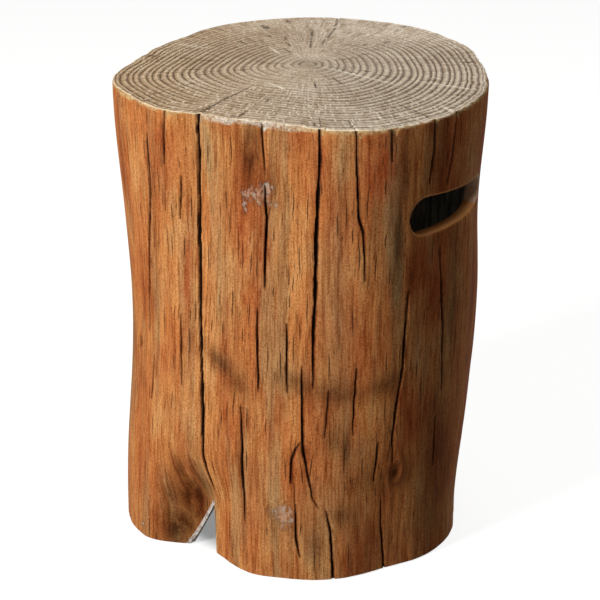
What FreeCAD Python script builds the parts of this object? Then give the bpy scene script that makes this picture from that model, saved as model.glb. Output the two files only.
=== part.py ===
import FreeCAD, Part
import math
import os

import Sketcher
from FreeCAD import Placement, Rotation, Vector

# Slip-over cover for a gas cylinder, cast in fibre cement as a sawn tree stump.
# The frame has its origin on the floor at the middle of the stump, +Z up and the front at -Y.
# An azimuth is in degrees from the front, positive towards +X. Lengths are millimetres.

doc = FreeCAD.newDocument("stump_cover")
sheet = doc.addObject("Spreadsheet::Sheet", "Sizes")

SIZES = [
    ("overall_height", 540.0),      # floor to the top face
    ("trunk_radius", 205.0),        # plain trunk before any swell or hollow
    ("skin_thickness", 7.0),        # stained outer coat
    ("backing_thickness", 10.0),    # raw coat laid up behind it
    ("bond_gap", 0.3),              # glue line between the two coats
    ("tank_diameter", 310.0),       # the cylinder that stands inside
    ("tank_clearance", 5.0),        # air around that cylinder
    ("fold_depth", 40.0),           # the valley between two root flares
    ("fold_floor", 50.0),           # the valley is full depth up to here
    ("fold_top", 150.0),            # and has run out here
    ("slot_length", 152.0),         # hand slot, tip to tip
    ("slot_height", 45.0),          # at its wider end
    ("slot_far_height", 34.0),      # at its narrower end
    ("slot_sill", 407.0),           # its lower edge above the floor
    ("hose_gap_width", 39.0),
    ("hose_gap_height", 62.0),
    ("rim_band", 10.0),             # edge of the end-grain slab that shows
    ("rim_bevel", 3.0),             # worn arris of that edge
    ("spigot_depth", 6.0),          # the slab drops this far into the wall
    ("fit_clearance", 0.5),         # between the spigot and the wall
    ("top_backing_thickness", 12.0),
    ("bead_size", 14.0),            # mortar fillet under the top
    ("pad_length", 18.0),
    ("pad_width", 11.0),
    ("pad_thickness", 4.0),
    ("pad_proud", 1.5),             # of the pad below the rim
    ("pad_chamfer", 0.8),
    ("pad_play", 0.3),              # around a pad in its pocket
    ("ring_groove_depth", 1.2),
    ("ring_groove_width", 3.0),
    ("check_width", 3.0),           # radial drying check in the top, at the rim
    ("check_depth", 3.0),
]
for row, (name, value) in enumerate(SIZES, start=1):
    sheet.set("A%d" % row, name)
    sheet.set("B%d" % row, str(value))
    sheet.setAlias("B%d" % row, name)
doc.recompute()


def size(name):
    return float(sheet.get(name))


# Shape of the trunk

HEIGHT = size("overall_height")
WALL = size("skin_thickness") + size("backing_thickness")
CORE_RADIUS = size("tank_diameter") / 2 + size("tank_clearance")
WALL_TOP = HEIGHT - size("rim_band")
SLOT_AZIMUTHS = {"right": 53.4, "left": 53.4 - 180.0}
FOLD_AZIMUTH = -42.0
FOLD_LEFT_SPREAD = 22.0
FOLD_RIGHT_SPREAD = 30.0
PITH = Vector(8.0, 32.0, 0)

# Swells (plus) and hollows (minus) of the trunk: azimuth and spread in degrees,
# level and reach as shares of the height, and how far the middle stands out in millimetres.
SWELLS = [
    ("front hollow under the rim", -17, 45, 1.0, 1.0, -26),
    ("front right shoulder", 30, 45, 1.0, 1.0, 14),
    ("right shoulder", 70, 40, 1.0, 1.0, 9),
    ("rear right shoulder", 140, 60, 1.0, 1.0, 15),
    ("rear shoulder", -172, 35, 1.0, 1.0, 5),
    ("rear left flat", -122, 42, 1.0, 1.0, -12),
    ("left shoulder", -80, 25, 1.0, 1.0, 11),
    ("dent beside the widest crack", -38, 12, 0.85, 0.6, -6),
    ("left waist", -88, 70, 0.51, 0.5, -14),
    ("front belly", 4, 40, 0.35, 0.45, 3),
    ("right belly", 85, 45, 0.4, 0.36, 7),
    ("right neck", 92, 45, 0.76, 0.24, -5),
    ("right thigh", 88, 40, 0.22, 0.16, 3),
    ("left root flare", -76, 24, 0.0, 0.8, 5),
    ("front left root hollow", -15, 22, 0.0, 0.7, -7),
    ("front right root hollow", 30, 20, 0.0, 0.5, -7),
    ("right root draws in", 92, 55, 0.0, 1.0, -23),
    ("rear left root flare", -140, 40, 0.0, 0.8, 6),
    ("rear root hollow", 172, 26, 0.0, 0.5, -10),
]

# Main drying cracks: width and depth at the widest, then (azimuth, height) down the wood.
CRACKS = [
    ("widest", 6.0, 5.0, [(-36.5, 531), (-36, 330), (-35, 200), (-34.5, 118)]),
    ("far left", 3.0, 3.5, [(-60, 512), (-61, 380), (-60.5, 250)]),
    ("front left", 3.5, 4.0, [(-14, 520), (-15.5, 420), (-13.5, 330)]),
    ("middle", 4.5, 4.5, [(5.5, 531), (5, 425), (4, 243)]),
    ("front right", 3.5, 4.0, [(15.8, 531), (16.5, 462), (19.5, 340)]),
    ("right", 3.5, 4.0, [(33, 371), (33.8, 278), (30.5, 140)]),
    ("right of the slot", 3.0, 3.5, [(48, 380), (51.5, 235)]),
    ("shoulder", 3.0, 3.5, [(40.3, 531), (40, 462)]),
    ("low middle", 3.5, 4.0, [(0, 252), (0, 160)]),
    ("root left", 3.0, 3.5, [(-21, 203), (-20, 67)]),
    ("root middle", 3.5, 4.0, [(-2.2, 92), (-1.2, 0)]),
    ("root right", 3.0, 3.5, [(26.7, 98), (28.6, 0)]),
    ("rear", 5.0, 4.5, [(168, 531), (171, 300), (166, 90)]),
    ("rear right", 3.5, 4.0, [(120, 531), (123, 380)]),
    ("rear left", 3.5, 4.0, [(-150, 420), (-148, 200)]),
]

# Where the main cracks run on into the top: azimuth and length as a share of the radius.
TOP_CHECKS = [(-36.5, 0.45), (5.5, 0.14), (15.8, 0.18), (40.3, 0.12), (168, 0.3), (120, 0.16)]
RING_SHARES = [0.2, 0.36, 0.52, 0.68, 0.84]


def hump(offset, spread):
    """1 in the middle, falling smoothly to 0 at the spread."""
    if abs(offset) >= spread:
        return 0.0
    return math.cos(math.pi / 2 * offset / spread) ** 2


def turn(azimuth, centre):
    """Degrees from the centre to the azimuth, the short way round."""
    return (azimuth - centre + 180.0) % 360.0 - 180.0


def fold(azimuth, height):
    """Depth of the valley between the two root flares."""
    rise = (height - size("fold_floor")) / (size("fold_top") - size("fold_floor"))
    rise = min(max(rise, 0.0), 1.0)
    fade = 1.0 - rise * rise * (3.0 - 2.0 * rise)
    offset = turn(azimuth, FOLD_AZIMUTH + 7.0 * rise)
    spread = FOLD_LEFT_SPREAD if offset < 0 else FOLD_RIGHT_SPREAD
    return size("fold_depth") * fade * hump(offset, spread)


def outer_radius(azimuth, height):
    radius = size("trunk_radius")
    for _, centre, spread, level, reach, amount in SWELLS:
        radius += amount * hump(turn(azimuth, centre), spread) * hump(height / HEIGHT - level, reach)
    return radius - fold(azimuth, height)


def inner_radius(azimuth, height):
    """A wall's thickness inside the trunk, but never nearer than the tank allows."""
    behind = outer_radius(azimuth, height) - WALL
    ease = 8.0
    return (behind + CORE_RADIUS + math.hypot(behind - CORE_RADIUS, ease)) / 2


def bond_radius(azimuth, height):
    """The face between the stained coat and the raw one."""
    outer = outer_radius(azimuth, height)
    share = size("skin_thickness") / WALL
    return outer - (outer - inner_radius(azimuth, height)) * share


def at(azimuth, radius, height):
    angle = math.radians(azimuth)
    return Vector(radius * math.sin(angle), -radius * math.cos(angle), height)


# Small helpers for the document

def feature(name, shape):
    thing = doc.addObject("Part::Feature", name)
    thing.Shape = shape
    return thing


def arc_starts(fine, coarse):
    """Azimuths where the arcs of a section meet: close together in the fold, further apart round the rest."""
    first, last = -66.0, -10.0
    spots = [first + (last - first) * i / fine for i in range(fine)]
    return spots + [last + (first + 360.0 - last) * i / coarse for i in range(coarse)]


OUTER_ARCS = arc_starts(10, 24)
INNER_CHORDS = arc_starts(14, 48)
YEAR_CHORDS = [7.5 * i for i in range(48)]


def arc_wire(point, starts):
    """Closed outline of arcs, each through three points of the curve that point(azimuth) gives."""
    ends = starts[1:] + [starts[0] + 360.0]
    arcs = [Part.Arc(point(a), point((a + b) / 2), point(b)) for a, b in zip(starts, ends)]
    return Part.Wire([arc.toShape() for arc in arcs])


def chord_wire(point, starts):
    """The same in short chords, for rough faces that nobody sees."""
    points = [point(a) for a in starts]
    return Part.makePolygon(points + points[:1])


def section(name, radius, height, inset=0.0, level=None):
    """The trunk's outline at a height, or the one of another level moved to that height."""
    level = height if level is None else level

    def point(azimuth):
        return at(azimuth, radius(azimuth, level) - inset, height)

    outside = radius is outer_radius
    return feature(name, arc_wire(point, OUTER_ARCS) if outside else chord_wire(point, INNER_CHORDS))


def loft(name, sections):
    thing = doc.addObject("Part::Loft", name)
    thing.Sections = sections
    thing.Solid = True
    thing.Ruled = True
    return thing


def cut(name, base, tool):
    thing = doc.addObject("Part::Cut", name)
    thing.Base = base
    thing.Tool = tool
    thing.Refine = False
    return thing


def fuse(name, shapes):
    thing = doc.addObject("Part::MultiFuse", name)
    thing.Shapes = shapes
    thing.Refine = False
    return thing


def common(name, shapes):
    thing = doc.addObject("Part::MultiCommon", name)
    thing.Shapes = shapes
    thing.Refine = False
    return thing


def origin_plane(body, role):
    return [f for f in body.Origin.OriginFeatures if f.Role == role][0]


# Lofted forms that the pieces are cut from

OUTER_LEVELS = [size("pad_proud"), 45, 85, 125, 165, 240, 340, 440, WALL_TOP]
BELOW = -10.0

# Heights of the core's straight-ruled bands, each with the level whose outline it takes.
CORE_STATIONS = [
    (BELOW, 0), (75, 75), (150, 150), (290, 290), (390, 390), (460, 460), (WALL_TOP - BELOW, WALL_TOP),
]


def core_surface(azimuth, height):
    """Radius of the core's straight-ruled side at a height."""
    for (low, low_level), (high, high_level) in zip(CORE_STATIONS, CORE_STATIONS[1:]):
        if height <= high:
            break
    share = (height - low) / (high - low)
    return inner_radius(azimuth, low_level) * (1 - share) + inner_radius(azimuth, high_level) * share


def outer_form():
    rings = [section("outer_%d" % i, outer_radius, z) for i, z in enumerate(OUTER_LEVELS)]
    return loft("trunk_form", rings)


def inner_form(name, radius, inset):
    """A core that runs past the rim below and past the slab above, so that it cuts clean through."""
    rings = [section("%s_%d" % (name, i), radius, z, inset, level)
             for i, (z, level) in enumerate(CORE_STATIONS)]
    return loft(name, rings)


# Cutters

def slot_body(name, azimuth, growth):
    """A hand slot's form, lying along the radius: a sketched obround with a wider end, padded outwards."""
    body = doc.addObject("PartDesign::Body", name)
    sketch = body.newObject("Sketcher::SketchObject", name + "_outline")
    sketch.AttachmentSupport = [(origin_plane(body, "XZ_Plane"), "")]
    sketch.MapMode = "FlatFace"
    wide = size("slot_height") / 2
    narrow = size("slot_far_height") / 2
    half = size("slot_length") / 2
    across = size("slot_length") - wide - narrow
    lean = 2 * math.atan2(wide - narrow, across)
    up = math.pi / 2 - lean
    far = Part.Circle(Vector(half - narrow, narrow, 0), Vector(0, 0, 1), narrow + growth)
    near = Part.Circle(Vector(wide - half, wide, 0), Vector(0, 0, 1), wide + growth)
    far_arc = Part.ArcOfCircle(far, -math.pi / 2, up)
    near_arc = Part.ArcOfCircle(near, up, 3 * math.pi / 2)
    sketch.addGeometry(far_arc, False)
    sketch.addGeometry(near_arc, False)
    sketch.addGeometry(Part.LineSegment(far_arc.EndPoint, near_arc.StartPoint), False)
    sketch.addGeometry(Part.LineSegment(near_arc.EndPoint, far_arc.StartPoint), False)
    for first, start, second, end in [(0, 2, 2, 1), (2, 2, 1, 1), (1, 2, 3, 1), (3, 2, 0, 1)]:
        sketch.addConstraint(Sketcher.Constraint("Tangent", first, start, second, end))
    sketch.addConstraint(Sketcher.Constraint("Horizontal", 3))
    driven = [
        (Sketcher.Constraint("Radius", 0, narrow + growth), "Sizes.slot_far_height / 2 + %g" % growth),
        (Sketcher.Constraint("Radius", 1, wide + growth), "Sizes.slot_height / 2 + %g" % growth),
        (Sketcher.Constraint("DistanceX", 1, 3, 0, 3, across),
         "Sizes.slot_length - Sizes.slot_height / 2 - Sizes.slot_far_height / 2"),
        (Sketcher.Constraint("DistanceX", -1, 1, 0, 3, half - narrow),
         "Sizes.slot_length / 2 - Sizes.slot_far_height / 2"),
        (Sketcher.Constraint("DistanceY", -1, 1, 0, 3, narrow), "Sizes.slot_far_height / 2"),
    ]
    for constraint, value in driven:
        number = sketch.addConstraint(constraint)
        sketch.setExpression("Constraints[%d]" % number, value)
    pad = body.newObject("PartDesign::Pad", name + "_pad")
    pad.Profile = sketch
    pad.setExpression("Length", "Sizes.trunk_radius * 1.5")
    body.Tip = pad
    body.Placement = Placement(Vector(0, 0, size("slot_sill")), Rotation(Vector(0, 0, 1), azimuth))
    return body


def crack_wedge(width, depth, path):
    """A V groove down the wood, pinched to a hair at each end unless it runs out at the rim."""
    steps = 2
    stations = []
    for (a0, z0), (a1, z1) in zip(path, path[1:]):
        stations += [(a0 + (a1 - a0) * k / steps, z0 + (z1 - z0) * k / steps) for k in range(steps)]
    stations.append(path[-1])
    wires = []
    for i, (azimuth, height) in enumerate(stations):
        share = i / (len(stations) - 1)
        runs_out = (i == 0 and height > WALL_TOP) or (i == len(stations) - 1 and height <= 0)
        open_here = 1.0 if runs_out else 0.15 + 0.85 * math.sin(math.pi * share) ** 0.5
        surface = outer_radius(azimuth, height)
        lip = 2.0
        half = math.degrees(width * open_here / 2 / surface) * (1 + lip / depth)
        corners = [
            at(azimuth - half, surface + lip, height),
            at(azimuth + half, surface + lip, height),
            at(azimuth, surface - depth * open_here, height),
        ]
        wires.append(Part.makePolygon(corners + corners[:1]))
    return Part.makeLoft(wires, True, True)


def hose_gap_form():
    """The triangular way out for the hose, cut along the radius at the bottom of the valley."""
    width = size("hose_gap_width")
    left = -0.54 * width
    near_apex = 0.38 * width
    right = 0.46 * width
    corners = [
        Vector(left, 0, BELOW),
        Vector(right, 0, BELOW),
        Vector(right, 0, 0),
        Vector(near_apex, 0, size("hose_gap_height")),
        Vector(left, 0, 0),
    ]
    face = Part.Face(Part.makePolygon(corners + corners[:1]))
    shape = face.extrude(Vector(0, -size("trunk_radius") * 1.5, 0))
    thing = feature("hose_gap_form", shape)
    thing.Placement = Placement(Vector(0, 0, 0), Rotation(Vector(0, 0, 1), FOLD_AZIMUTH))
    return thing


PAD_AZIMUTHS = [-105.0, -66.0, -12.0, 42.0, 95.0, 160.0]


def pad_place(azimuth):
    """Where a pad sits: on the middle of the rim, turned to run along it."""
    middle = outer_radius(azimuth, 0.0) - WALL / 2
    return Placement(at(azimuth, middle, 0.0), Rotation(Vector(0, 0, 1), azimuth))


def pad_body(name, azimuth, play, depth):
    """A block that stands on the floor plane; the pocket for it is the same with play added."""
    body = doc.addObject("PartDesign::Body", name)
    sketch = body.newObject("Sketcher::SketchObject", name + "_outline")
    sketch.AttachmentSupport = [(origin_plane(body, "XY_Plane"), "")]
    sketch.MapMode = "FlatFace"
    x = size("pad_length") / 2 + play
    y = size("pad_width") / 2 + play
    corners = [Vector(-x, -y, 0), Vector(x, -y, 0), Vector(x, y, 0), Vector(-x, y, 0)]
    for start, end in zip(corners, corners[1:] + corners[:1]):
        sketch.addGeometry(Part.LineSegment(start, end), False)
    for i in range(4):
        sketch.addConstraint(Sketcher.Constraint("Coincident", i, 2, (i + 1) % 4, 1))
    sketch.addConstraint(Sketcher.Constraint("Horizontal", 0))
    sketch.addConstraint(Sketcher.Constraint("Vertical", 1))
    sketch.addConstraint(Sketcher.Constraint("Horizontal", 2))
    sketch.addConstraint(Sketcher.Constraint("Vertical", 3))
    sketch.addConstraint(Sketcher.Constraint("Symmetric", 0, 1, 2, 1, -1, 1))
    along = sketch.addConstraint(Sketcher.Constraint("DistanceX", 0, 1, 0, 2, 2 * x))
    across = sketch.addConstraint(Sketcher.Constraint("DistanceY", 1, 1, 1, 2, 2 * y))
    sketch.setExpression("Constraints[%d]" % along, "Sizes.pad_length + %g" % (2 * play))
    sketch.setExpression("Constraints[%d]" % across, "Sizes.pad_width + %g" % (2 * play))
    pad = body.newObject("PartDesign::Pad", name + "_block")
    pad.Profile = sketch
    pad.setExpression("Length", depth)
    body.Tip = pad
    body.Placement = pad_place(azimuth)
    return body


# The pieces

nodes = []


def keep(thing, label):
    thing.Label = label
    nodes.append(thing)
    return thing


trunk = outer_form()
bond_form = inner_form("bond_form", bond_radius, 0.0)
backing_form = inner_form("backing_form", bond_radius, size("bond_gap"))
core_form = inner_form("core_form", inner_radius, 0.0)
gap_form = hose_gap_form()
slots = [slot_body("slot_void_" + side, a, 0.0) for side, a in SLOT_AZIMUTHS.items()]
sleeves = [
    slot_body("slot_sleeve_" + side, a, size("skin_thickness")) for side, a in SLOT_AZIMUTHS.items()
]
sleeve_seats = [
    slot_body("slot_seat_" + side, a, size("skin_thickness") + size("bond_gap"))
    for side, a in SLOT_AZIMUTHS.items()
]
pockets = [
    pad_body("pad_pocket_%d" % i, a, size("pad_play"), "Sizes.pad_thickness")
    for i, a in enumerate(PAD_AZIMUTHS, start=1)
]
doc.recompute()
cracks = feature("crack_forms", Part.makeCompound([crack_wedge(w, d, path) for _, w, d, path in CRACKS]))


def stump_skin():
    """Stained outer coat, which turns in through the hand slots as a sleeve."""
    coat = cut("skin_coat", trunk, bond_form)
    wall = cut("whole_wall", trunk, core_form)
    lining = common("slot_lining", [wall, fuse("sleeve_pair", sleeves)])
    whole = fuse("skin_and_lining", [coat, lining])
    openings = fuse("skin_openings", slots + [gap_form] + pockets)
    return cut("skin_opened", cut("skin_cut", whole, openings), cracks)


def backing_wall():
    """Raw coat with glass fibre, laid up behind the stained one."""
    full = common("backing_full", [cut("backing_ring", backing_form, core_form), trunk])
    openings = fuse("backing_openings", sleeve_seats + [gap_form] + pockets)
    return cut("backing_opened", full, openings)


def end_grain_top():
    """Slab that shows the sawn end grain, with growth rings, drying checks and a spigot."""
    bevel = size("rim_bevel")
    rings = [
        section("slab_low", outer_radius, WALL_TOP),
        section("slab_side", outer_radius, HEIGHT - bevel, 0.0, WALL_TOP),
        section("slab_face", outer_radius, HEIGHT, bevel, WALL_TOP),
    ]
    slab = loft("slab_form", rings)
    spigot_rings = [
        section("spigot_low", core_surface, WALL_TOP - size("spigot_depth"), size("fit_clearance")),
        section("spigot_high", core_surface, WALL_TOP, size("fit_clearance")),
    ]
    blank = fuse("slab_blank", [slab, loft("spigot_form", spigot_rings)])
    tools = [growth_groove(i, share) for i, share in enumerate(RING_SHARES)]
    tools += [top_check(i, a, length) for i, (a, length) in enumerate(TOP_CHECKS)]
    return cut("slab_finished", blank, fuse("slab_tools", tools))


def rim_share(azimuth, share, growth):
    """A point on a growth ring: part of the way from the pith to the rim."""
    rim = at(azimuth, outer_radius(azimuth, WALL_TOP), 0.0)
    out = rim - PITH
    return PITH + out * (share + growth / out.Length)


def growth_groove(number, share):
    """V groove that follows one year's outline."""
    depth = size("ring_groove_depth")
    over = 1.0
    half = size("ring_groove_width") / 2 * (1 + over / depth)

    def year(name, growth, height):
        wire = chord_wire(lambda a: rim_share(a, share, growth) + Vector(0, 0, height), YEAR_CHORDS)
        return feature("%s_%d" % (name, number), wire)

    bottom = year("ring_bottom", 0.0, HEIGHT - depth)
    wide = loft("ring_wide_%d" % number, [bottom, year("ring_out", half, HEIGHT + over)])
    narrow = loft("ring_narrow_%d" % number, [bottom, year("ring_in", -half, HEIGHT + over)])
    return cut("ring_groove_%d" % number, wide, narrow)


def top_check(number, azimuth, length):
    """Radial drying check: a wedge that opens towards the rim."""
    outside = rim_share(azimuth, 1.0, 4.0)
    inside = rim_share(azimuth, 1.0 - length, 0.0)
    across = (outside - inside).cross(Vector(0, 0, 1)).normalize()
    half = size("check_width") / 2
    depth = size("check_depth")
    over = 1.0
    wires = []
    for point, opening in [(inside, 0.15), (outside, 1.0)]:
        side = across * (half * opening * (1 + over / depth))
        corners = [
            point + side + Vector(0, 0, HEIGHT + over),
            point - side + Vector(0, 0, HEIGHT + over),
            point + Vector(0, 0, HEIGHT - depth * opening),
        ]
        wires.append(Part.makePolygon(corners + corners[:1]))
    return feature("top_check_%d" % number, Part.makeLoft(wires, True, True))


def top_backing():
    """Raw coat under the slab, inside the wall."""
    high = WALL_TOP - size("spigot_depth")
    low = high - size("top_backing_thickness")
    rings = [section("top_backing_%s" % n, core_surface, z, size("fit_clearance"))
             for n, z in [("low", low), ("high", high)]]
    return loft("top_backing_form", rings)


def corner_bead():
    """Mortar fillet that bonds the top to the wall from inside."""
    high = WALL_TOP - size("spigot_depth") - size("top_backing_thickness")
    low = high - size("bead_size")
    play = size("bond_gap")
    block = loft("bead_block", [
        section("bead_low", core_surface, low, play),
        section("bead_high", core_surface, high, play),
    ])
    slope = loft("bead_slope", [
        section("slope_low", core_surface, low - 1.0, play + 1.0),
        section("slope_high", core_surface, high + 1.0, play + size("bead_size")),
    ])
    return cut("bead_ring", block, slope)


def foot_pad(number, azimuth):
    """Rubber block in a pocket in the rim."""
    body = pad_body("foot_block_%d" % number, azimuth, 0.0, "Sizes.pad_thickness")
    doc.recompute()
    block = body.Tip
    edges = ["Edge%d" % i for i, e in enumerate(block.Shape.Edges, start=1)
             if max(v.Point.z for v in e.Vertexes) < 0.01]
    chamfer = body.newObject("PartDesign::Chamfer", "foot_chamfer_%d" % number)
    chamfer.Base = (block, edges)
    chamfer.setExpression("Size", "Sizes.pad_chamfer")
    body.Tip = chamfer
    return body


keep(stump_skin(), "stump_skin")
keep(backing_wall(), "backing_wall")
keep(end_grain_top(), "end_grain_top")
keep(top_backing(), "top_backing")
keep(corner_bead(), "corner_bead")
for number, azimuth in enumerate(PAD_AZIMUTHS, start=1):
    keep(foot_pad(number, azimuth), "foot_pad_%d" % number)
doc.recompute()

for thing in doc.Objects:
    if "Invalid" in thing.State or "Error" in thing.State:
        raise RuntimeError("%s failed: %s" % (thing.Name, thing.State))
for node in nodes:
    if node.Shape.isNull() or not node.Shape.isValid():
        raise RuntimeError("%s has no valid shape" % node.Label)

os.makedirs("parts", exist_ok=True)
for node in nodes:
    node.Shape.exportStep("parts/%s.step" % node.Label)
    box = node.Shape.BoundBox
    print("%-16s %2d solid, %8.0f mm3, x %.1f..%.1f y %.1f..%.1f z %.1f..%.1f" % (
        node.Label, len(node.Shape.Solids), node.Shape.Volume,
        box.XMin, box.XMax, box.YMin, box.YMax, box.ZMin, box.ZMax))
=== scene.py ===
import math

import bmesh
import bpy
import numpy as np
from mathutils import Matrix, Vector


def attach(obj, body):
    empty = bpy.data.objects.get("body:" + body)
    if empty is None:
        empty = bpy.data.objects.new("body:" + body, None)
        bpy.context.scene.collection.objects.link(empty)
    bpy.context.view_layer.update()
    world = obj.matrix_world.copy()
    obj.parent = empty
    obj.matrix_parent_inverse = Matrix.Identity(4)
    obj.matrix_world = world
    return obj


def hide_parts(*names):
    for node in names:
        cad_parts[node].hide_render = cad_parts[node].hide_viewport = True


# Looks of a slip-over gas cylinder cover, cast in fibre cement as a sawn, bark-free tree stump.
# The shape functions work in millimetres and degrees, and meshes are written in metres.
# An azimuth is counted from the front (-Y) towards +X.

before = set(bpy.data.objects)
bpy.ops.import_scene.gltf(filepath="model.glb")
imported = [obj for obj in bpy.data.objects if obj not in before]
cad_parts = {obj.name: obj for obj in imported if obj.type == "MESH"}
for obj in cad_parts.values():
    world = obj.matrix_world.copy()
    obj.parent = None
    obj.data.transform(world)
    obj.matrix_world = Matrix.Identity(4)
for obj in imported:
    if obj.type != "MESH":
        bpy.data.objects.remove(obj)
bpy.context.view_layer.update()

# Sizes that the CAD model has too

HEIGHT = 540.0
WALL_TOP = 530.0
RIM_LEVEL = 1.5
TRUNK_RADIUS = 205.0
SKIN = 7.0
WALL = 17.0
CORE_RADIUS = 160.0
SLOT_LENGTH = 152.0
SLOT_HEIGHT = 45.0
SLOT_FAR_HEIGHT = 34.0
SLOT_SILL = 407.0
SLOT_AZIMUTHS = (53.4, -126.6)
FOLD_AZIMUTH = -42.0
FOLD_DEPTH = 40.0
FOLD_FLOOR = 50.0
FOLD_TOP = 150.0
FOLD_LEFT_SPREAD = 22.0
FOLD_RIGHT_SPREAD = 30.0
GAP_WIDTH = 39.0
GAP_HEIGHT = 62.0
GAP_LEFT = -0.54 * GAP_WIDTH
GAP_RIGHT = 0.46 * GAP_WIDTH
GAP_APEX = 0.38 * GAP_WIDTH
PAD_AZIMUTHS = (-105.0, -66.0, -12.0, 42.0, 95.0, 160.0)
PAD_POCKET = (18.6, 11.6, 4.0)
SPIGOT_DEPTH = 6.0
FIT_CLEARANCE = 0.5
THINNEST_SKIN = 1.2
WALL_LEVELS = (0.0, 75.0, 150.0, 290.0, 390.0, 460.0, WALL_TOP)
PITH = np.array([8.0, 32.0])

# The rounded ends of a hand slot: how far along it their middles are, and their radii.
SLOT_ENDS = (
    (SLOT_HEIGHT / 2 - SLOT_LENGTH / 2, SLOT_HEIGHT / 2),
    (SLOT_LENGTH / 2 - SLOT_FAR_HEIGHT / 2, SLOT_FAR_HEIGHT / 2),
)

MM = 0.001
MM_PER_DEGREE = math.radians(TRUNK_RADIUS)

# Sizes that only the looks have

PAST_FLOOR = 10.0
PAST_TOP = 20.0
CUTTER_START = 60.0
CUTTER_END = 300.0
SLEEVE_START = 100.0
ARRIS_LEVEL = HEIGHT - 4.0
CRACK_REACH = 5.0
RAY_RADIUS = 110.0
GROOVE_DEPTH = 1.2
CHECK_DEPTH = 5.0
FAR_AWAY = 99.0

# Grids of the meshes: columns round the trunk and rows up it, and steps within a year of growth,
# where 0 is the groove, and round the arris.

SIDE_COLUMNS = 560
SIDE_ROWS = 158
CORE_COLUMNS = 180
CORE_ROWS = 57
RINGS = 26
RING_STEPS = (0.0, 0.1, 0.22, 0.5, 0.78, 0.9)
ARRIS_STEPS = 5

# Stage: the light from all round, the light added to what the camera sees of the floor, under the
# cover and beside it, and the camera that the photograph's rim and floor outlines give.

AMBIENT = 0.065
FLOOR_LIFT = (0.27, 0.82)
CAMERA_PLACE = (-0.002, -3.0945, 1.5441)
CAMERA_TILT = 67.48
CAMERA_LENS = 172.4

# Swells (plus) and hollows (minus) of the trunk: azimuth and spread in degrees,
# level and reach as shares of the height, and how far the middle stands out in millimetres.
SWELLS = [
    (-17, 45, 1.0, 1.0, -26),
    (30, 45, 1.0, 1.0, 14),
    (70, 40, 1.0, 1.0, 9),
    (140, 60, 1.0, 1.0, 15),
    (-172, 35, 1.0, 1.0, 5),
    (-122, 42, 1.0, 1.0, -12),
    (-80, 25, 1.0, 1.0, 11),
    (-38, 12, 0.85, 0.6, -6),
    (-88, 70, 0.51, 0.5, -14),
    (4, 40, 0.35, 0.45, 3),
    (85, 45, 0.4, 0.36, 7),
    (92, 45, 0.76, 0.24, -5),
    (88, 40, 0.22, 0.16, 3),
    (-76, 24, 0.0, 0.8, 5),
    (-15, 22, 0.0, 0.7, -7),
    (30, 20, 0.0, 0.5, -7),
    (92, 55, 0.0, 1.0, -23),
    (-140, 40, 0.0, 0.8, 6),
    (172, 26, 0.0, 0.5, -10),
]

# Drying cracks: width and depth at the widest, then (azimuth, height) down the wood.
# Cracks that run close together come at an even and an odd place in the list.
CRACKS = [
    (5.0, 5.0, [(-37.5, 640), (-37.8, 400), (-36.3, 289), (-34.4, 193), (-33.6, 130), (-34.4, 72)]),
    (2.8, 3.5, [(-57, 513), (-57, 438), (-59.5, 363), (-61.3, 300), (-61.1, 256)]),
    (1.6, 2.0, [(-57.9, 240), (-59.6, 178)]),
    (1.5, 1.6, [(-44.4, 305), (-43.1, 214)]),
    (1.5, 1.6, [(-48.6, 536), (-49.2, 474)]),
    (1.4, 1.5, [(-43.6, 468), (-44.2, 412)]),
    (2.8, 4.0, [(-12.6, 472), (-12.2, 430), (-12.6, 386), (-12.5, 346)]),
    (4.2, 4.5, [(5.6, 536), (5.3, 466), (4.7, 407), (3.9, 319), (3.5, 232)]),
    (2.6, 3.5, [(0.2, 270), (0.3, 170), (1.9, 129), (3.5, 102), (6.2, 88)]),
    (2.0, 2.5, [(0.1, 178), (-2.3, 165), (-3.3, 152), (-3.4, 119)]),
    (3.0, 3.5, [(7.6, 93), (9.1, 66), (10.3, -4)]),
    (2.2, 2.5, [(-15.1, 330), (-14.5, 226)]),
    (2.2, 2.5, [(16.8, 266), (16.1, 178)]),
    (1.4, 1.5, [(8.2, 240), (7.0, 178)]),
    (3.2, 4.0, [(33.2, 352), (32, 254), (30.7, 216), (29.5, 171), (29.8, 133)]),
    (1.8, 2.0, [(24.8, 170), (23.0, 116)]),
    (2.4, 3.0, [(26.5, 96), (26.5, 58), (28.6, -4)]),
    (2.8, 3.0, [(45.3, 392), (48.4, 283), (49.2, 203)]),
    (2.0, 2.5, [(47, 182), (47.5, 110)]),
    (2.3, 3.0, [(16.1, 536), (16.0, 505), (16.9, 442), (18.5, 424), (18.8, 360)]),
    (1.6, 2.0, [(26.4, 536), (26.4, 500)]),
    (1.5, 2.0, [(-14.2, 536), (-13.0, 482)]),
    (2.6, 3.0, [(41, 536), (41, 503), (39.6, 464)]),
    (2.2, 2.6, [(50.8, 536), (49.5, 490), (47.1, 456)]),
    (2.0, 2.4, [(-5.2, 316), (-4.7, 228)]),
    (2.4, 3.0, [(-20.4, 214), (-19.9, 156), (-19.8, 60)]),
    (2.4, 3.0, [(-2.3, 99), (-1.8, 55), (-0.4, 26)]),
    (5.0, 4.5, [(168, 534), (171, 300), (166, 90)]),
    (3.5, 4.0, [(120, 534), (123, 380)]),
    (3.5, 4.0, [(-150, 420), (-148, 200)]),
    (3.0, 3.5, [(-106, 534), (-103, 330)]),
    (3.0, 3.5, [(96, 380), (99, 150)]),
    (2.6, 3.0, [(-174, 250), (-171, 60)]),
    (2.6, 3.0, [(144, 300), (141, 60)]),
    (2.6, 3.0, [(-92, 250), (-95, 60)]),
]

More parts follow.
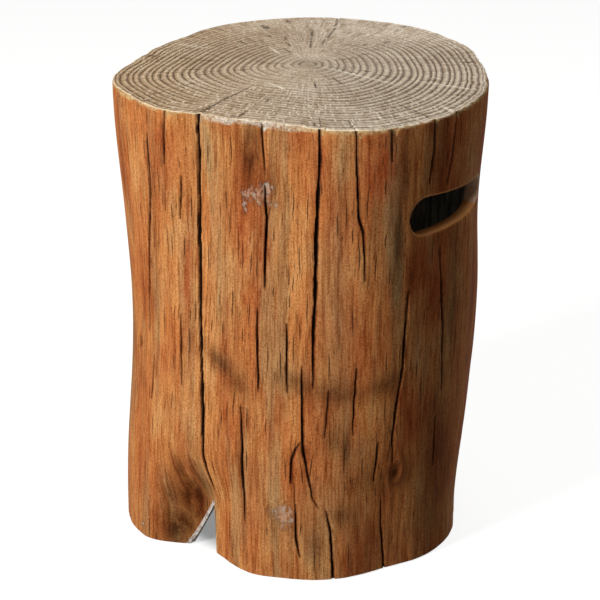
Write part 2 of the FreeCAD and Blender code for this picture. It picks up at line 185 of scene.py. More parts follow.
# Where the wood is finely checked: azimuth, height, half width and half height in millimetres, lean,
# strength. The lists below have the same columns.
CHECKED = [
    (-25, 360, 44, 110, 0.0, 1.0),
    (-3, 370, 20, 90, 0.0, 0.9),
    (-12, 250, 40, 50, 0.0, 0.6),
    (2, 140, 26, 50, 0.0, 0.8),
    (24, 150, 40, 50, 0.0, 0.7),
    (-50, 400, 40, 140, 0.0, 0.5),
    (26, 440, 50, 90, 0.0, 0.6),
    (60, 300, 60, 160, 0.0, 0.6),
    (130, 250, 140, 200, 0.0, 0.6),
    (-130, 300, 150, 180, 0.0, 0.6),
]

# Soft dark washes of stain; the four low in the valley over the hose gap are partly painted shade in the
# fold between the root flares.
SMUDGES_AND_VALLEY_SHADE = [
    (-18, 503, 13, 36, 0.35, 0.8),
    (-14, 470, 22, 22, 0.0, 0.4),
    # Painted shade, partly stain: these four darken the fold between the root flares.
    (-47, 104, 12, 26, 0.3, 0.7),
    (-46, 62, 26, 40, 0.2, 1.0),
    (-51, 24, 26, 34, 0.2, 0.9),
    (-40, 96, 13, 34, -0.3, 0.7),
    (-28, 256, 24, 13, -0.55, 0.62),
    (-22, 238, 16, 16, 0.0, 0.55),
    (-1, 243, 26, 14, -0.3, 0.56),
    (11, 233, 36, 14, -0.1, 0.56),
    (27, 238, 26, 15, 0.2, 0.62),
    (9, 178, 12, 16, 0.0, 0.5),
    (13.4, 165, 6, 20, 0.0, 0.6),
    (27, 122, 34, 22, 0.0, 0.6),
    (12.7, 82, 15, 13, 0.0, 0.6),
    (3.5, 46, 8, 20, 0.0, 0.4),
    (50, 110, 32, 110, 0.0, 0.6),
    (54, 300, 20, 120, 0.0, 0.4),
    (30.5, 485, 6, 34, 0.0, 0.6),
    (28.8, 405, 5, 46, 0.0, 0.75),
    (33.5, 360, 6, 50, 0.0, 0.5),
    (45, 470, 12, 60, 0.0, 0.35),
    (20, 420, 8, 60, 0.0, 0.35),
    (-75, 448, 8, 50, 0.0, 0.45),
    (-76, 240, 10, 30, 0.0, 0.4),
    (104, 215, 30, 30, 0.0, 0.5),
    (-160, 270, 30, 34, 0.0, 0.5),
    (150, 80, 50, 60, 0.2, 0.5),
    (-115, 150, 30, 80, 0.0, 0.4),
]

# Grey-green washes.
OLIVE_WASHES = [
    (-54, 62, 10, 40, 0.2, 0.8),
    (-52, 18, 10, 24, 0.2, 0.8),
    (-34, 505, 16, 40, 0.0, 0.7),
    (-29, 380, 14, 110, 0.0, 0.6),
    (-40.5, 300, 7, 150, 0.0, 0.5),
    (-57, 340, 8, 120, 0.0, 0.7),
    (-27, 258, 14, 12, -0.5, 0.7),
    (9, 310, 22, 90, 0.0, 0.8),
    (11, 500, 24, 40, 0.0, 0.6),
    (1, 250, 30, 30, 0.0, 0.6),
    (26, 450, 14, 90, 0.0, 0.6),
    (30, 330, 10, 60, 0.0, 0.7),
    (-13, 100, 16, 50, 0.0, 0.7),
    (4, 40, 14, 44, 0.0, 0.7),
    (18, 160, 30, 20, 0.0, 0.5),
    (160, 400, 40, 120, 0.0, 0.6),
    (-110, 420, 40, 100, 0.0, 0.6),
]

# Redder washes, where the stain has run thick.
RED_WASHES = [
    (-43.5, 42, 8, 34, 1.6, 1.2),
    (-47, 66, 16, 30, 0.0, 0.8),
    (76, 300, 60, 260, 0.0, 0.7),
    (-74, 470, 14, 50, 0.0, 0.9),
    (-50, 300, 12, 60, 0.0, 0.4),
    (-42, 360, 8, 110, 0.0, 0.6),
    (-15, 440, 26, 60, 0.0, 0.6),
    (-26, 222, 14, 30, 0.0, 0.8),
    (-20, 190, 18, 26, 0.0, 0.5),
    (14, 400, 20, 120, 0.0, 0.6),
    (22, 490, 26, 44, 0.0, 0.8),
    (4, 205, 22, 30, 0.0, 0.7),
    (1, 150, 24, 44, 0.0, 0.9),
    (14, 130, 24, 40, 0.0, 0.6),
    (38, 200, 30, 50, 0.0, 0.8),
    (20, 30, 30, 34, 0.0, 0.7),
    (48, 480, 40, 60, 0.0, 0.8),
    (44, 330, 24, 80, 0.0, 0.8),
    (-66, 60, 20, 40, 0.0, 0.6),
    (120, 300, 60, 140, 0.0, 0.6),
    (-150, 150, 60, 100, 0.0, 0.6),
]

# Pale patches where the stain is knocked or brushed off.
PALE_PATCHES = [
    (-15.0, 455, 20, 13, -0.3, 1.1),
    (-12.0, 466, 13, 11, 0.0, 1.1),
    (-19.5, 457, 10, 13, 0.0, 1.0),
    (-20.0, 441, 7, 16, 0.0, 0.9),
    (-9.5, 446, 9, 7, 0.0, 0.9),
    (-5.4, 80, 17, 22, 0.0, 1.1),
    (-9.0, 84, 14, 12, 0.0, 0.8),
    (-50.8, 184, 9, 2.5, -0.7, 0.9),
    (-44.8, 197, 8, 2.0, -0.1, 0.8),
    (-20, 207, 5, 3, 0.0, 0.7),
    (-64, 15, 7, 5, 0.5, 0.9),
    (-79, 236, 5, 12, 0.0, 0.7),
    (35.8, 44, 3, 24, 0.2, 0.7),
    (28, 50, 3, 40, 0.0, 0.5),
    (48.5, 480, 3, 30, 0.4, 0.6),
    (100, 230, 8, 6, 0.0, 0.8),
    (150, 380, 7, 6, 0.0, 0.8),
    (-160, 285, 8, 6, 0.0, 0.8),
]

# Knots: azimuth, height, radius, and how dark the heart is.
KNOTS = [
    (-12.4, 462, 9, 0.4),
    (1.0, 163, 8, 0.6),
    (31, 122, 11, 0.8),
    (-67.5, 242, 8, 0.4),
    (103, 215, 14, 0.9),
    (148, 372, 11, 0.7),
    (-162, 270, 15, 0.9),
    (-108, 120, 11, 0.6),
]


# Shape of the trunk

def hump(offset, spread):
    """1 in the middle, falling smoothly to 0 at the spread."""
    return np.where(np.abs(offset) < spread, np.cos(np.pi / 2 * offset / spread) ** 2, 0.0)


def ease(x):
    """0 below 0, 1 above 1, and smooth between."""
    x = np.clip(x, 0.0, 1.0)
    return x * x * (3.0 - 2.0 * x)


def turn(azimuth, centre):
    """Degrees from the centre to the azimuth, the short way round."""
    return (azimuth - centre + 180.0) % 360.0 - 180.0


def sideways(azimuth, radius, centre):
    """Millimetres to the right of the plane through the axis and the centre's azimuth."""
    return radius * np.sin(np.radians(turn(azimuth, centre)))


def fold(azimuth, height):
    """Depth of the valley between two root flares."""
    rise = np.clip((height - FOLD_FLOOR) / (FOLD_TOP - FOLD_FLOOR), 0.0, 1.0)
    offset = turn(azimuth, FOLD_AZIMUTH + 7.0 * rise)
    spread = np.where(offset < 0, FOLD_LEFT_SPREAD, FOLD_RIGHT_SPREAD)
    return FOLD_DEPTH * (1.0 - ease(rise)) * hump(offset, spread)


def outer_radius(azimuth, height):
    """Radius of the plain trunk, before its grain, cracks and knots."""
    level = np.clip(height, 0.0, WALL_TOP)
    radius = np.full(np.shape(azimuth), TRUNK_RADIUS)
    for centre, spread, middle, reach, amount in SWELLS:
        radius = radius + amount * hump(turn(azimuth, centre), spread) * hump(level / HEIGHT - middle, reach)
    return radius - fold(azimuth, level)


def radius_at(azimuth, height):
    """The plain trunk's radius at one azimuth and height."""
    return float(outer_radius(np.array([azimuth]), np.array([height]))[0])


def inner_radius(azimuth, height):
    """A wall's thickness inside the trunk, but never nearer than the gas cylinder allows."""
    behind = outer_radius(azimuth, height) - WALL
    return (behind + CORE_RADIUS + np.hypot(behind - CORE_RADIUS, 8.0)) / 2


def bond_radius(azimuth, height):
    """The face between the stained coat and the raw one."""
    outer = outer_radius(azimuth, height)
    return outer - (outer - inner_radius(azimuth, height)) * SKIN / WALL


def wall_face(azimuth, height):
    """Outer face of the CAD model's raw wall, which runs straight from level to level."""
    faces = np.array([bond_radius(azimuth, np.full(np.shape(azimuth), level)) for level in WALL_LEVELS])
    face = faces[-1]
    for number in range(len(WALL_LEVELS) - 1):
        low, high = WALL_LEVELS[number:number + 2]
        share = (height - low) / (high - low)
        between = faces[number] * (1 - share) + faces[number + 1] * share
        face = np.where((height >= low) & (height < high), between, face)
    return face


def at(azimuth, radius, height):
    """Points in millimetres, one row each."""
    angle = np.radians(azimuth)
    return np.stack([radius * np.sin(angle), -radius * np.cos(angle), height + 0.0 * angle], axis=-1)


# Random fields

def ripple(azimuth, height, cells_round, cell_height, seed):
    """Smooth random field from -1 to 1 that closes round the trunk."""
    rows = int(HEIGHT / cell_height) + 4
    lattice = np.random.default_rng(seed).uniform(-1.0, 1.0, (cells_round, rows))
    u = (azimuth / 360.0 % 1.0) * cells_round
    v = np.clip(height + cell_height, 0.0, HEIGHT + 2 * cell_height) / cell_height
    left = np.floor(u).astype(int) % cells_round
    low = np.floor(v).astype(int)
    across = ease(u - np.floor(u))
    up = ease(v - low)
    right = (left + 1) % cells_round
    bottom = lattice[left, low] * (1 - across) + lattice[right, low] * across
    top = lattice[left, low + 1] * (1 - across) + lattice[right, low + 1] * across
    return bottom * (1 - up) + top * up


def wander(place, step, seed):
    """Smooth random line from -1 to 1 along one length."""
    spots = np.random.default_rng(seed).uniform(-1.0, 1.0, 400)
    u = np.clip(place / step + 100.0, 0.0, 398.0)
    low = np.floor(u).astype(int)
    share = ease(u - low)
    return spots[low] * (1 - share) + spots[low + 1] * share


# Marks on the wood

def grain_bow(azimuth, height):
    """Degrees by which the grain bows out round the knots."""
    bow = np.zeros(np.shape(azimuth))
    for centre, level, radius, _ in KNOTS:
        across = turn(azimuth, centre) * MM_PER_DEGREE
        near = np.exp(-((height - level) / (2.0 * radius)) ** 2 - np.abs(across) / (1.6 * radius))
        bow += 0.6 * np.tanh(across / (0.4 * radius)) * near * radius
    return bow / MM_PER_DEGREE


def wood_relief(azimuth, height):
    """Slow lumps of the trunk and the faint ribs of its grain."""
    flow = azimuth - grain_bow(azimuth, height)
    lumps = 1.3 * ripple(azimuth, height, 22, 110.0, 14)
    ribs = 0.4 * ripple(flow, height, 84, 170.0, 11)
    ribs += 0.16 * ripple(flow, height, 230, 90.0, 12)
    return lumps + ribs


def crack_marks(azimuth, height):
    """How deep the cracks lie. For the stain, two sets of lines: the offset from a crack and its
    half width, both times how near it is, and how near it is."""
    sink = np.zeros(np.shape(azimuth))
    lines = np.zeros((2, *np.shape(azimuth), 3))
    for number, (width, depth, path) in enumerate(CRACKS):
        azimuths = np.array([a for a, _ in path], float)
        heights = np.array([z for _, z in path], float)
        centre = np.interp(height, heights[::-1], azimuths[::-1])
        centre = centre + 0.22 * wander(height, 42.0, 50 + number) + 0.1 * wander(height, 9.0, 80 + number)
        share = (heights[0] - height) / (heights[0] - heights[-1])
        if heights[0] > WALL_TOP:
            share = 0.07 + 0.93 * share
        if heights[-1] < 0:
            share = share * 0.8
        inside = (share > 0) & (share < 1)
        opening = np.where(inside, np.sin(np.pi * np.clip(share, 0, 1)) ** 0.6, 0.0)
        half = 0.42 * width * opening * (1.0 + 0.35 * wander(height, 13.0, 110 + number))
        offset = turn(azimuth, centre) * MM_PER_DEGREE
        cut = np.clip(1.0 - (np.abs(offset) / np.maximum(half + 0.4, 0.01)) ** 2, 0.0, 1.0)
        shoulder = 0.25 * width * opening * np.exp(-np.abs(offset) / 4.0)
        sink = np.maximum(sink, depth * opening * cut + shoulder)
        near = np.clip((CRACK_REACH - np.abs(offset)) / 2.5, 0.0, 1.0) * np.clip(4.0 * opening, 0.0, 1.0)
        line = lines[number % 2]
        closer = near > line[..., 2]
        line[closer] = np.stack([offset * near, half * near, near], axis=-1)[closer]
    return sink, lines


def knot_marks(azimuth, height):
    """Lift of the knots over the wood and their dark heart."""
    lift = np.zeros(np.shape(azimuth))
    dark = np.zeros(np.shape(azimuth))
    for centre, level, radius, heart in KNOTS:
        across = turn(azimuth, centre) * MM_PER_DEGREE
        away = np.hypot(across, (height - level) / 1.2) / radius
        away = away * (1.0 + 0.3 * ripple(azimuth, height, 120, 11.0, 31))
        lift += 1.2 * np.exp(-((away - 0.95) / 0.5) ** 2) - 2.0 * heart * np.exp(-(away / 0.5) ** 2)
        dark = np.maximum(dark, heart * np.exp(-(away / 0.7) ** 2))
    return lift, dark


def washes(spots, azimuth, height):
    """Soft spots of one of the lists above; where they meet, the stronger one counts."""
    wash = np.zeros(np.shape(azimuth))
    for centre, level, half_width, half_height, lean, strength in spots:
        across = turn(azimuth, centre) * MM_PER_DEGREE
        up = height - level - lean * across
        away = (across / half_width) ** 2 + (up / half_height) ** 2
        wash = np.maximum(wash, strength * np.exp(-away))
    return wash


def bleached(azimuth):
    """Share of the rim's worn edge that has gone white: all of it left of the middle in front."""
    return hump(turn(azimuth, -19.0), 22.0) ** 0.4


def rim_wear(azimuth, height):
    """1 in the ragged worn band under the arris of the top, 0 below it."""
    level = 0.0 * height
    drop = 3.2 + 3.6 * bleached(azimuth)
    for _, _, path in CRACKS:
        top_azimuth, top_height = path[0]
        if top_height > WALL_TOP:
            drop = drop + 5.0 * np.exp(-(turn(azimuth, top_azimuth + 0.9) / 0.8) ** 2)
    drop = drop + 1.8 * ripple(azimuth, level, 36, 60.0, 41) + 1.4 * ripple(azimuth, level, 110, 60.0, 42)
    return ease((height - (HEIGHT - drop)) / 2.0 + 0.5)


def slot_away(azimuth, radius, height, slot_azimuth):
    """Distance outside a hand slot's outline, which tapers from its near end to its far one."""
    across = sideways(azimuth, radius, slot_azimuth)
    front = np.abs(turn(azimuth, slot_azimuth)) < 60
    near, far = SLOT_ENDS
    share = np.clip((across - near[0]) / (far[0] - near[0]), 0.0, 1.0)
    middle = near[0] + (far[0] - near[0]) * share
    radius_here = near[1] + (far[1] - near[1]) * share
    away = np.hypot(across - middle, height - SLOT_SILL - radius_here) - radius_here
    return np.where(front, away, FAR_AWAY)


def slot_lips(azimuth, radius, height):
    """Sink of the rounded lips of the hand slots, which are fuller along the bottom."""
    sink = np.zeros(np.shape(azimuth))
    for slot_azimuth in SLOT_AZIMUTHS:
        away = slot_away(azimuth, radius, height, slot_azimuth)
        lip = 2.0 + 4.0 * ease((SLOT_SILL + 8.0 - height) / 12.0)
        share = np.clip(1.0 - away / lip, 0.0, 1.0)
        sink = np.maximum(sink, lip * (1.0 - np.sqrt(1.0 - share * share)))
    return sink


def slot_wear(azimuth, radius, height):
    """The lining of the hand slots, where hands have rubbed the stain thin, and a painted pool of light on
    its far end wall, which the lamps leave in the trunk's shade.
    """
    lining = np.zeros(np.shape(azimuth))
    end = np.zeros(np.shape(azimuth))
    for slot_azimuth in SLOT_AZIMUTHS:
        across = sideways(azimuth, radius, slot_azimuth)
        within = ease(1.8 - slot_away(azimuth, radius, height, slot_azimuth))
        lining = np.maximum(lining, within)
        # Painted light: marks the far end wall of each slot, which the lamps leave in shade, to be painted
        # pale.
        end = np.maximum(end, within * ease((across - SLOT_ENDS[1][0]) / 8.0))
    return lining, end


def gap_edge(azimuth, radius, height):
    """Distance from the sloping edge of the hose gap, in centimetres, 1 where it is far."""
    across = sideways(azimuth, radius, FOLD_AZIMUTH)
    slope = np.array([GAP_APEX - GAP_LEFT, GAP_HEIGHT])
    slope = slope / np.hypot(*slope)
    away = height * slope[0] - (across - GAP_LEFT) * slope[1]
    beside = (across > GAP_LEFT - 8.0) & (across < GAP_APEX + 3.0) & (height < GAP_HEIGHT + 8.0)
    beside = beside & (np.abs(turn(azimuth, FOLD_AZIMUTH)) < 60.0) & (away > -1.0)
    return np.where(beside, np.clip(away / 10.0, 0.0, 1.0), 1.0)


def side_radius(azimuth, height):
    """Radius of the finished side, with everything on it."""
    plain = outer_radius(azimuth, height)
    crack, _ = crack_marks(azimuth, height)
    lift, _ = knot_marks(azimuth, height)
    wear = rim_wear(azimuth, height) * (1.2 + 0.9 * ripple(azimuth, height, 160, 8.0, 43))
    lips = slot_lips(azimuth, plain, height)
    calm = np.exp(-lips)
    worked = (wood_relief(azimuth, height) + lift) * calm - 0.6 - crack - wear
    deepest = np.maximum(plain - bond_radius(azimuth, height) - THINNEST_SKIN, 0.1)
    return np.maximum(plain + np.maximum(worked, -deepest) - lips, wall_face(azimuth, height) + 0.5)


# Meshes

def by_density(fine, density, shares):
    """Places at these shares of the way along a fine scale, closer where its density is high."""
    total = np.cumsum(density)
    total = (total - total[0]) / (total[-1] - total[0])
    return np.interp(shares, total, fine)


def column_azimuths(count):
    """Azimuths of the grid's columns: closest in front and beside the cracks."""
    fine = np.linspace(-180.0, 180.0, 7201)
    density = np.where(np.abs(turn(fine, -5.0)) < 92.0, 1.0, 0.45)
    for _, _, path in CRACKS:
        middle = np.mean([a for a, _ in path])
        density = density + 0.7 * np.exp(-(turn(fine, middle) / 1.5) ** 2)
    return by_density(fine, density, np.arange(count) / count)


def row_heights(count):
    """Heights of the grid's rows: closest at the lips of the hand slots and under the top."""
    fine = np.linspace(RIM_LEVEL, WALL_TOP, 4001)
    density = np.full(fine.shape, 1.0)
    for edge in (SLOT_SILL - 3, SLOT_SILL + SLOT_HEIGHT - 4):
        density = density + 1.6 * np.exp(-((fine - edge) / 6.0) ** 2)
    density = density + 1.2 * ease((fine - 516.0) / 8.0)
    return by_density(fine, density, np.linspace(0.0, 1.0, count))


COLUMNS = column_azimuths(SIDE_COLUMNS)


def side_ring(height):
    """Points round the finished side at one height."""
    level = np.full(COLUMNS.shape, height)
    return at(COLUMNS, side_radius(COLUMNS, level), level)


def band_faces(lower, upper, count):
    """Quads between two rings of points that start at these numbers; they face outwards going up."""
    j = np.arange(count)
    k = (j + 1) % count
    return np.stack([lower + j, lower + k, upper + k, upper + j], axis=1).tolist()


def fan_faces(ring, centre, count, upwards):
    """Triangles from a ring of points to one centre point."""
    j = np.arange(count)
    k = (j + 1) % count
    pair = (j, k) if upwards else (k, j)
    return np.stack([ring + pair[0], ring + pair[1], np.full(count, centre)], axis=1).tolist()


def placed(name, data):
    """Adds an object with this data to the scene."""
    made = bpy.data.objects.new(name, data)
    bpy.context.scene.collection.objects.link(made)
    return made


def mesh_object(name, points, faces):
    """A mesh from points in millimetres."""
    mesh = bpy.data.meshes.new(name)
    mesh.from_pydata((np.asarray(points, float) * MM).tolist(), [], faces)
    mesh.update()
    return placed(name, mesh)


def closed_form(name, rings):
    """A solid from rings of points, one above another, closed by a fan at each end."""
    count = len(rings[0])
    points = np.concatenate(rings)
    middle_low = rings[0].mean(axis=0)
    middle_high = rings[-1].mean(axis=0)
    points = np.concatenate([points, [middle_low], [middle_high]])
    faces = []
    for i in range(len(rings) - 1):
        faces += band_faces(i * count, (i + 1) * count, count)
    faces += fan_faces(0, len(points) - 2, count, False)
    faces += fan_faces((len(rings) - 1) * count, len(points) - 1, count, True)
    return mesh_object(name, points, faces)


def prism(name, outline, azimuth, start, end):
    """An outline in the plane square to a radius, drawn out along that radius."""
    angle = math.radians(azimuth)
    along = np.array([math.sin(angle), -math.cos(angle), 0.0])
    across = np.array([math.cos(angle), math.sin(angle), 0.0])
    up = np.array([0.0, 0.0, 1.0])
    ring = np.array([u * across + v * up for u, v in outline])
    points = np.concatenate([ring + along * start, ring + along * end])
    count = len(outline)
    faces = band_faces(0, count, count)
    faces.append(list(range(count))[::-1])
    faces.append(list(range(count, 2 * count)))
    made = mesh_object(name, points, faces)
    face_outwards(made)
    return made


def face_outwards(piece):
    work = bmesh.new()
    work.from_mesh(piece.data)
    bmesh.ops.recalc_face_normals(work, faces=work.faces)
    work.to_mesh(piece.data)
    work.free()


def slot_outline(growth):
    """Outline of a hand slot, grown all round."""
    (near, near_radius), (far, far_radius) = SLOT_ENDS
    lean = 2 * math.atan2(near_radius - far_radius, far - near)
    outline = []
    for middle, radius, first, last in (
        (far, far_radius, -math.pi / 2, math.pi / 2 - lean),
        (near, near_radius, math.pi / 2 - lean, 3 * math.pi / 2),
    ):
        for step in range(17):
            angle = first + (last - first) * step / 16
            across = middle + (radius + growth) * math.cos(angle)
            outline.append((across, SLOT_SILL + radius + (radius + growth) * math.sin(angle)))
    return outline


def bake(piece):
    """Makes what the modifiers show the piece's own mesh."""
    graph = bpy.context.evaluated_depsgraph_get()
    mesh = bpy.data.meshes.new_from_object(piece.evaluated_get(graph))
    piece.modifiers.clear()
    piece.data = mesh


def carve(piece, tool, operation):
    """Cuts a tool out of a piece or joins it on; the tool is used up."""
    modifier = piece.modifiers.new(operation, "BOOLEAN")
    modifier.operation = operation
    modifier.solver = "MANIFOLD"
    modifier.object = tool
    bake(piece)
    bpy.data.objects.remove(tool)


def core_form(name, radius):
    """The inside of the wall as a plain solid that runs past both ends."""
    azimuths = np.linspace(-180.0, 180.0, CORE_COLUMNS, endpoint=False)
    rings = []
    for height in np.linspace(-PAST_FLOOR, WALL_TOP + PAST_TOP, CORE_ROWS):
        level = np.full(azimuths.shape, height)
        rings.append(at(azimuths, radius(azimuths, np.clip(level, 0.0, WALL_TOP)), level))
    return closed_form(name, rings)


def pad_pocket(name, azimuth):
    """The room for one rubber pad in the rim."""
    length, width, depth = PAD_POCKET
    middle = radius_at(azimuth, 0.0) - WALL / 2
    outline = [(-length / 2, -5.0), (length / 2, -5.0), (length / 2, depth), (-length / 2, depth)]
    return prism(name, outline, azimuth, middle - width / 2, middle + width / 2)


def gap_prism(name):
    """The triangular way out for the hose."""
    below = -PAST_FLOOR
    outline = [
        (GAP_LEFT, below), (GAP_RIGHT, below), (GAP_RIGHT, 0.0), (GAP_APEX, GAP_HEIGHT), (GAP_LEFT, 0.0),
    ]
    return prism(name, outline, FOLD_AZIMUTH, CUTTER_START, CUTTER_END)


def wall_openings(cutter):
    """Joins the hand slots, the hose gap and the pad pockets to a cutter."""
    for number, azimuth in enumerate(SLOT_AZIMUTHS):
        slot = prism("slot_%d" % number, slot_outline(0.0), azimuth, CUTTER_START, CUTTER_END)
        carve(cutter, slot, "UNION")
    carve(cutter, gap_prism("gap"), "UNION")
    for number, azimuth in enumerate(PAD_AZIMUTHS):
        carve(cutter, pad_pocket("pocket_%d" % number, azimuth), "UNION")


def smooth_faces(piece, angle):
    """Smooth shading with sharp edges where faces meet at more than the angle."""
    mesh = piece.data
    mesh.polygons.foreach_set("use_smooth", np.ones(len(mesh.polygons), bool))
    mesh.set_sharp_from_angle(angle=math.radians(angle))


def vertex_places(mesh):
    """Azimuth, radius and height of each vertex."""
    points = np.zeros(len(mesh.vertices) * 3)
    mesh.vertices.foreach_get("co", points)
    points = points.reshape(-1, 3) / MM
    azimuth = np.degrees(np.arctan2(points[:, 0], -points[:, 1]))
    return azimuth, np.hypot(points[:, 0], points[:, 1]), points[:, 2]


def keep_marks(mesh, **marks):
    """Stores each mark as a number on every vertex."""
    for name, values in marks.items():
        store = mesh.attributes.new(name, "FLOAT", "POINT")
        store.data.foreach_set("value", np.clip(values, 0.0, 1.0).astype(np.float32))


def keep_vectors(mesh, name, vectors):
    store = mesh.attributes.new(name, "FLOAT_VECTOR", "POINT")
    store.data.foreach_set("vector", vectors.astype(np.float32).ravel())


def mark_side(mesh):
    """Marks that the stain follows: cracks, knots, washes, chips, and a place along the grain; also painted
    shade in the valley over the hose gap and painted light on the far ends of the slots.
    """
    azimuth, radius, height = vertex_places(mesh)
    _, lines = crack_marks(azimuth, height)
    _, heart = knot_marks(azimuth, height)
    lining, slot_end = slot_wear(azimuth, radius, height)
    keep_vectors(mesh, "crack_line_0", lines[0])
    keep_vectors(mesh, "crack_line_1", lines[1])
    keep_marks(
        mesh,
        checked=washes(CHECKED, azimuth, height),
        # Dark stain washes and knot hearts, with painted shade in the valley over the hose gap.
        smudge=np.maximum(washes(SMUDGES_AND_VALLEY_SHADE, azimuth, height), heart),
        olive=washes(OLIVE_WASHES, azimuth, height),
        red=washes(RED_WASHES, azimuth, height),
        pale=washes(PALE_PATCHES, azimuth, height),
        worn_rim=rim_wear(azimuth, height),
        bleached=bleached(azimuth),
        slot_lining=lining,
        # Painted light on the far end walls of the slots.
        slot_end=slot_end,
        gap_edge=gap_edge(azimuth, radius, height),
    )
    flow = azimuth - grain_bow(azimuth, height)
    keep_vectors(mesh, "grain_place", at(flow, np.full(flow.shape, TRUNK_RADIUS), height) * MM)


# Finishes

def paint(code):
    """An sRGB hex value as a linear colour."""
    channels = [int(code[i:i + 2], 16) / 255.0 for i in (1, 3, 5)]
    linear = [c / 12.92 if c <= 0.04045 else ((c + 0.055) / 1.055) ** 2.4 for c in channels]
    return (*linear, 1.0)


def node(tree, kind, inputs=None, **settings):
    """Adds a node; inputs holds values or sockets to link, by the input's name or number."""
    made = tree.nodes.new(kind)
    for name, value in settings.items():
        setattr(made, name, value)
    for key, value in (inputs or {}).items():
        socket = made.inputs[key]
        if isinstance(value, bpy.types.NodeSocket):
            tree.links.new(value, socket)
        else:
            socket.default_value = value
    return made


def tree_of(*values):
    """The node tree that the first socket among these values lies in."""
    return next(value.id_data for value in values if isinstance(value, bpy.types.NodeSocket))


def empty_tree(owner):
    """The empty node tree of a material or a world."""
    owner.use_nodes = True
    owner.node_tree.nodes.clear()
    return owner.node_tree


def new_finish(name, roughness, specular):
    material = bpy.data.materials.new(name)
    tree = empty_tree(material)
    shader = node(tree, "ShaderNodeBsdfPrincipled", {"Roughness": roughness, "Specular IOR Level": specular})
    node(tree, "ShaderNodeOutputMaterial", {"Surface": shader.outputs["BSDF"]})
    return material, tree, shader


def mark(tree, name, output="Fac"):
    """A mark that is stored on the mesh, as a number or as a vector."""
    return node(tree, "ShaderNodeAttribute", attribute_name=name).outputs[output]


def object_place(tree):
    return node(tree, "ShaderNodeTexCoord").outputs["Object"]


def stretched(vector, scale):
    return node(tree_of(vector), "ShaderNodeMapping", {"Vector": vector, "Scale": scale}).outputs["Vector"]


def noise(vector, size_mm, detail=3.0, roughness=0.55, squeeze=1.0):
    """Noise whose grains are about this many millimetres across, and longer up the wood the more
    its height is squeezed."""
    if squeeze != 1.0:
        vector = stretched(vector, (1, 1, squeeze))
    settings = {"Vector": vector, "Scale": 1000.0 / size_mm, "Detail": detail, "Roughness": roughness}
    return node(tree_of(vector), "ShaderNodeTexNoise", settings).outputs["Fac"]


def spread(value, low, high, out_low=0.0, out_high=1.0):
    """Eases a value from one range into another."""
    settings = {"Value": value, 1: low, 2: high, 3: out_low, 4: out_high}
    made = node(tree_of(value), "ShaderNodeMapRange", settings, interpolation_type="SMOOTHSTEP")
    return made.outputs["Result"]


def maths(operation, first, second=0.0):
    made = node(tree_of(first, second), "ShaderNodeMath", {0: first, 1: second}, operation=operation)
    return made.outputs["Value"]


def times(first, second):
    return maths("MULTIPLY", first, second)


def plus(first, second):
    return maths("ADD", first, second)


def minus(first, second):
    return maths("SUBTRACT", first, second)


def apart(vector):
    """A vector's three numbers, by their letters."""
    return node(tree_of(vector), "ShaderNodeSeparateXYZ", {0: vector}).outputs


def ramp(factor, stops):
    """A colour ramp through stops of a place and an sRGB colour."""
    made = node(tree_of(factor), "ShaderNodeValToRGB", {"Fac": factor})
    elements = made.color_ramp.elements
    while len(elements) < len(stops):
        elements.new(1.0)
    for element, (place, code) in zip(elements, stops):
        element.position = place
        element.color = paint(code)
    return made.outputs["Color"]


def mix(share, first, second, blend="MIX"):
    settings = {0: share, 6: first, 7: second}
    made = node(tree_of(share, first), "ShaderNodeMix", settings, data_type="RGBA", blend_type=blend)
    return made.outputs[2]


def surface(shader, colour, height, millimetres, strength):
    """Gives a shader its colour and its fine relief."""
    tree = tree_of(colour)
    settings = {"Height": height, "Distance": millimetres * MM, "Strength": strength}
    made = node(tree, "ShaderNodeBump", settings)
    tree.links.new(made.outputs["Normal"], shader.inputs["Normal"])
    tree.links.new(colour, shader.inputs["Base Color"])


def tint(share, colour, code):
    """Multiplies a colour by an sRGB one, by this share."""
    return mix(share, colour, paint(code), "MULTIPLY")


def shade(pattern, colour, stops):
    """Multiplies a colour by a ramp of the pattern."""
    return mix(1.0, colour, ramp(pattern, stops), "MULTIPLY")


def cover(mask, strength, colour, code):
    """Lays an sRGB colour over another one, by a mask times a strength."""
    return mix(times(mask, strength), colour, paint(code))


def hair_lines(across, up, cell, half_width, chance):
    """Mask of short thin lines, all in millimetres: at most one in each cell, more where the
    chance is high."""
    tree = tree_of(across)
    width, height = cell
    spot = {"X": maths("DIVIDE", across, width), "Y": maths("DIVIDE", up, height)}
    scaled = node(tree, "ShaderNodeCombineXYZ", spot).outputs[0]
    settings = {"Vector": scaled, "Scale": 1.0, "Randomness": 0.9}
    cells = node(tree, "ShaderNodeTexVoronoi", settings, voronoi_dimensions="2D").outputs
    away = node(tree, "ShaderNodeVectorMath", {0: scaled, 1: cells["Position"]}, operation="SUBTRACT")
    away = apart(away.outputs[0])
    lots = node(tree, "ShaderNodeSeparateColor", {0: cells["Color"]}).outputs
    reach = plus(times(lots["Green"], 0.3), 0.12)
    share = maths("DIVIDE", away["Y"], reach)
    taper = minus(1.0, times(share, share))
    aside = times(maths("ABSOLUTE", away["X"]), width)
    line = spread(minus(times(taper, half_width), aside), -0.15, 0.25)
    return times(line, maths("LESS_THAN", lots["Red"], chance))


def crack_depth(tree, name):
    """How far inside the nearest crack of one set a point lies, in millimetres, less than 0 outside."""
    line = apart(mark(tree, name, "Vector"))
    inside = minus(line["Y"], maths("ABSOLUTE", line["X"]))
    inside = maths("DIVIDE", inside, maths("MAXIMUM", line["Z"], 0.2))
    missing = times(minus(1.0, line["Z"]), CRACK_REACH)
    return minus(inside, missing)


def zone(tree, wood, pattern, anywhere, wash, washed, code):
    """Lays a colour over the wood where the pattern is high, and more of it where a wash lies."""
    share = times(mark(tree, wash), spread(pattern, *washed))
    share = plus(spread(pattern, *anywhere), share)
    return mix(maths("MINIMUM", share, 0.85), wood, paint(code))


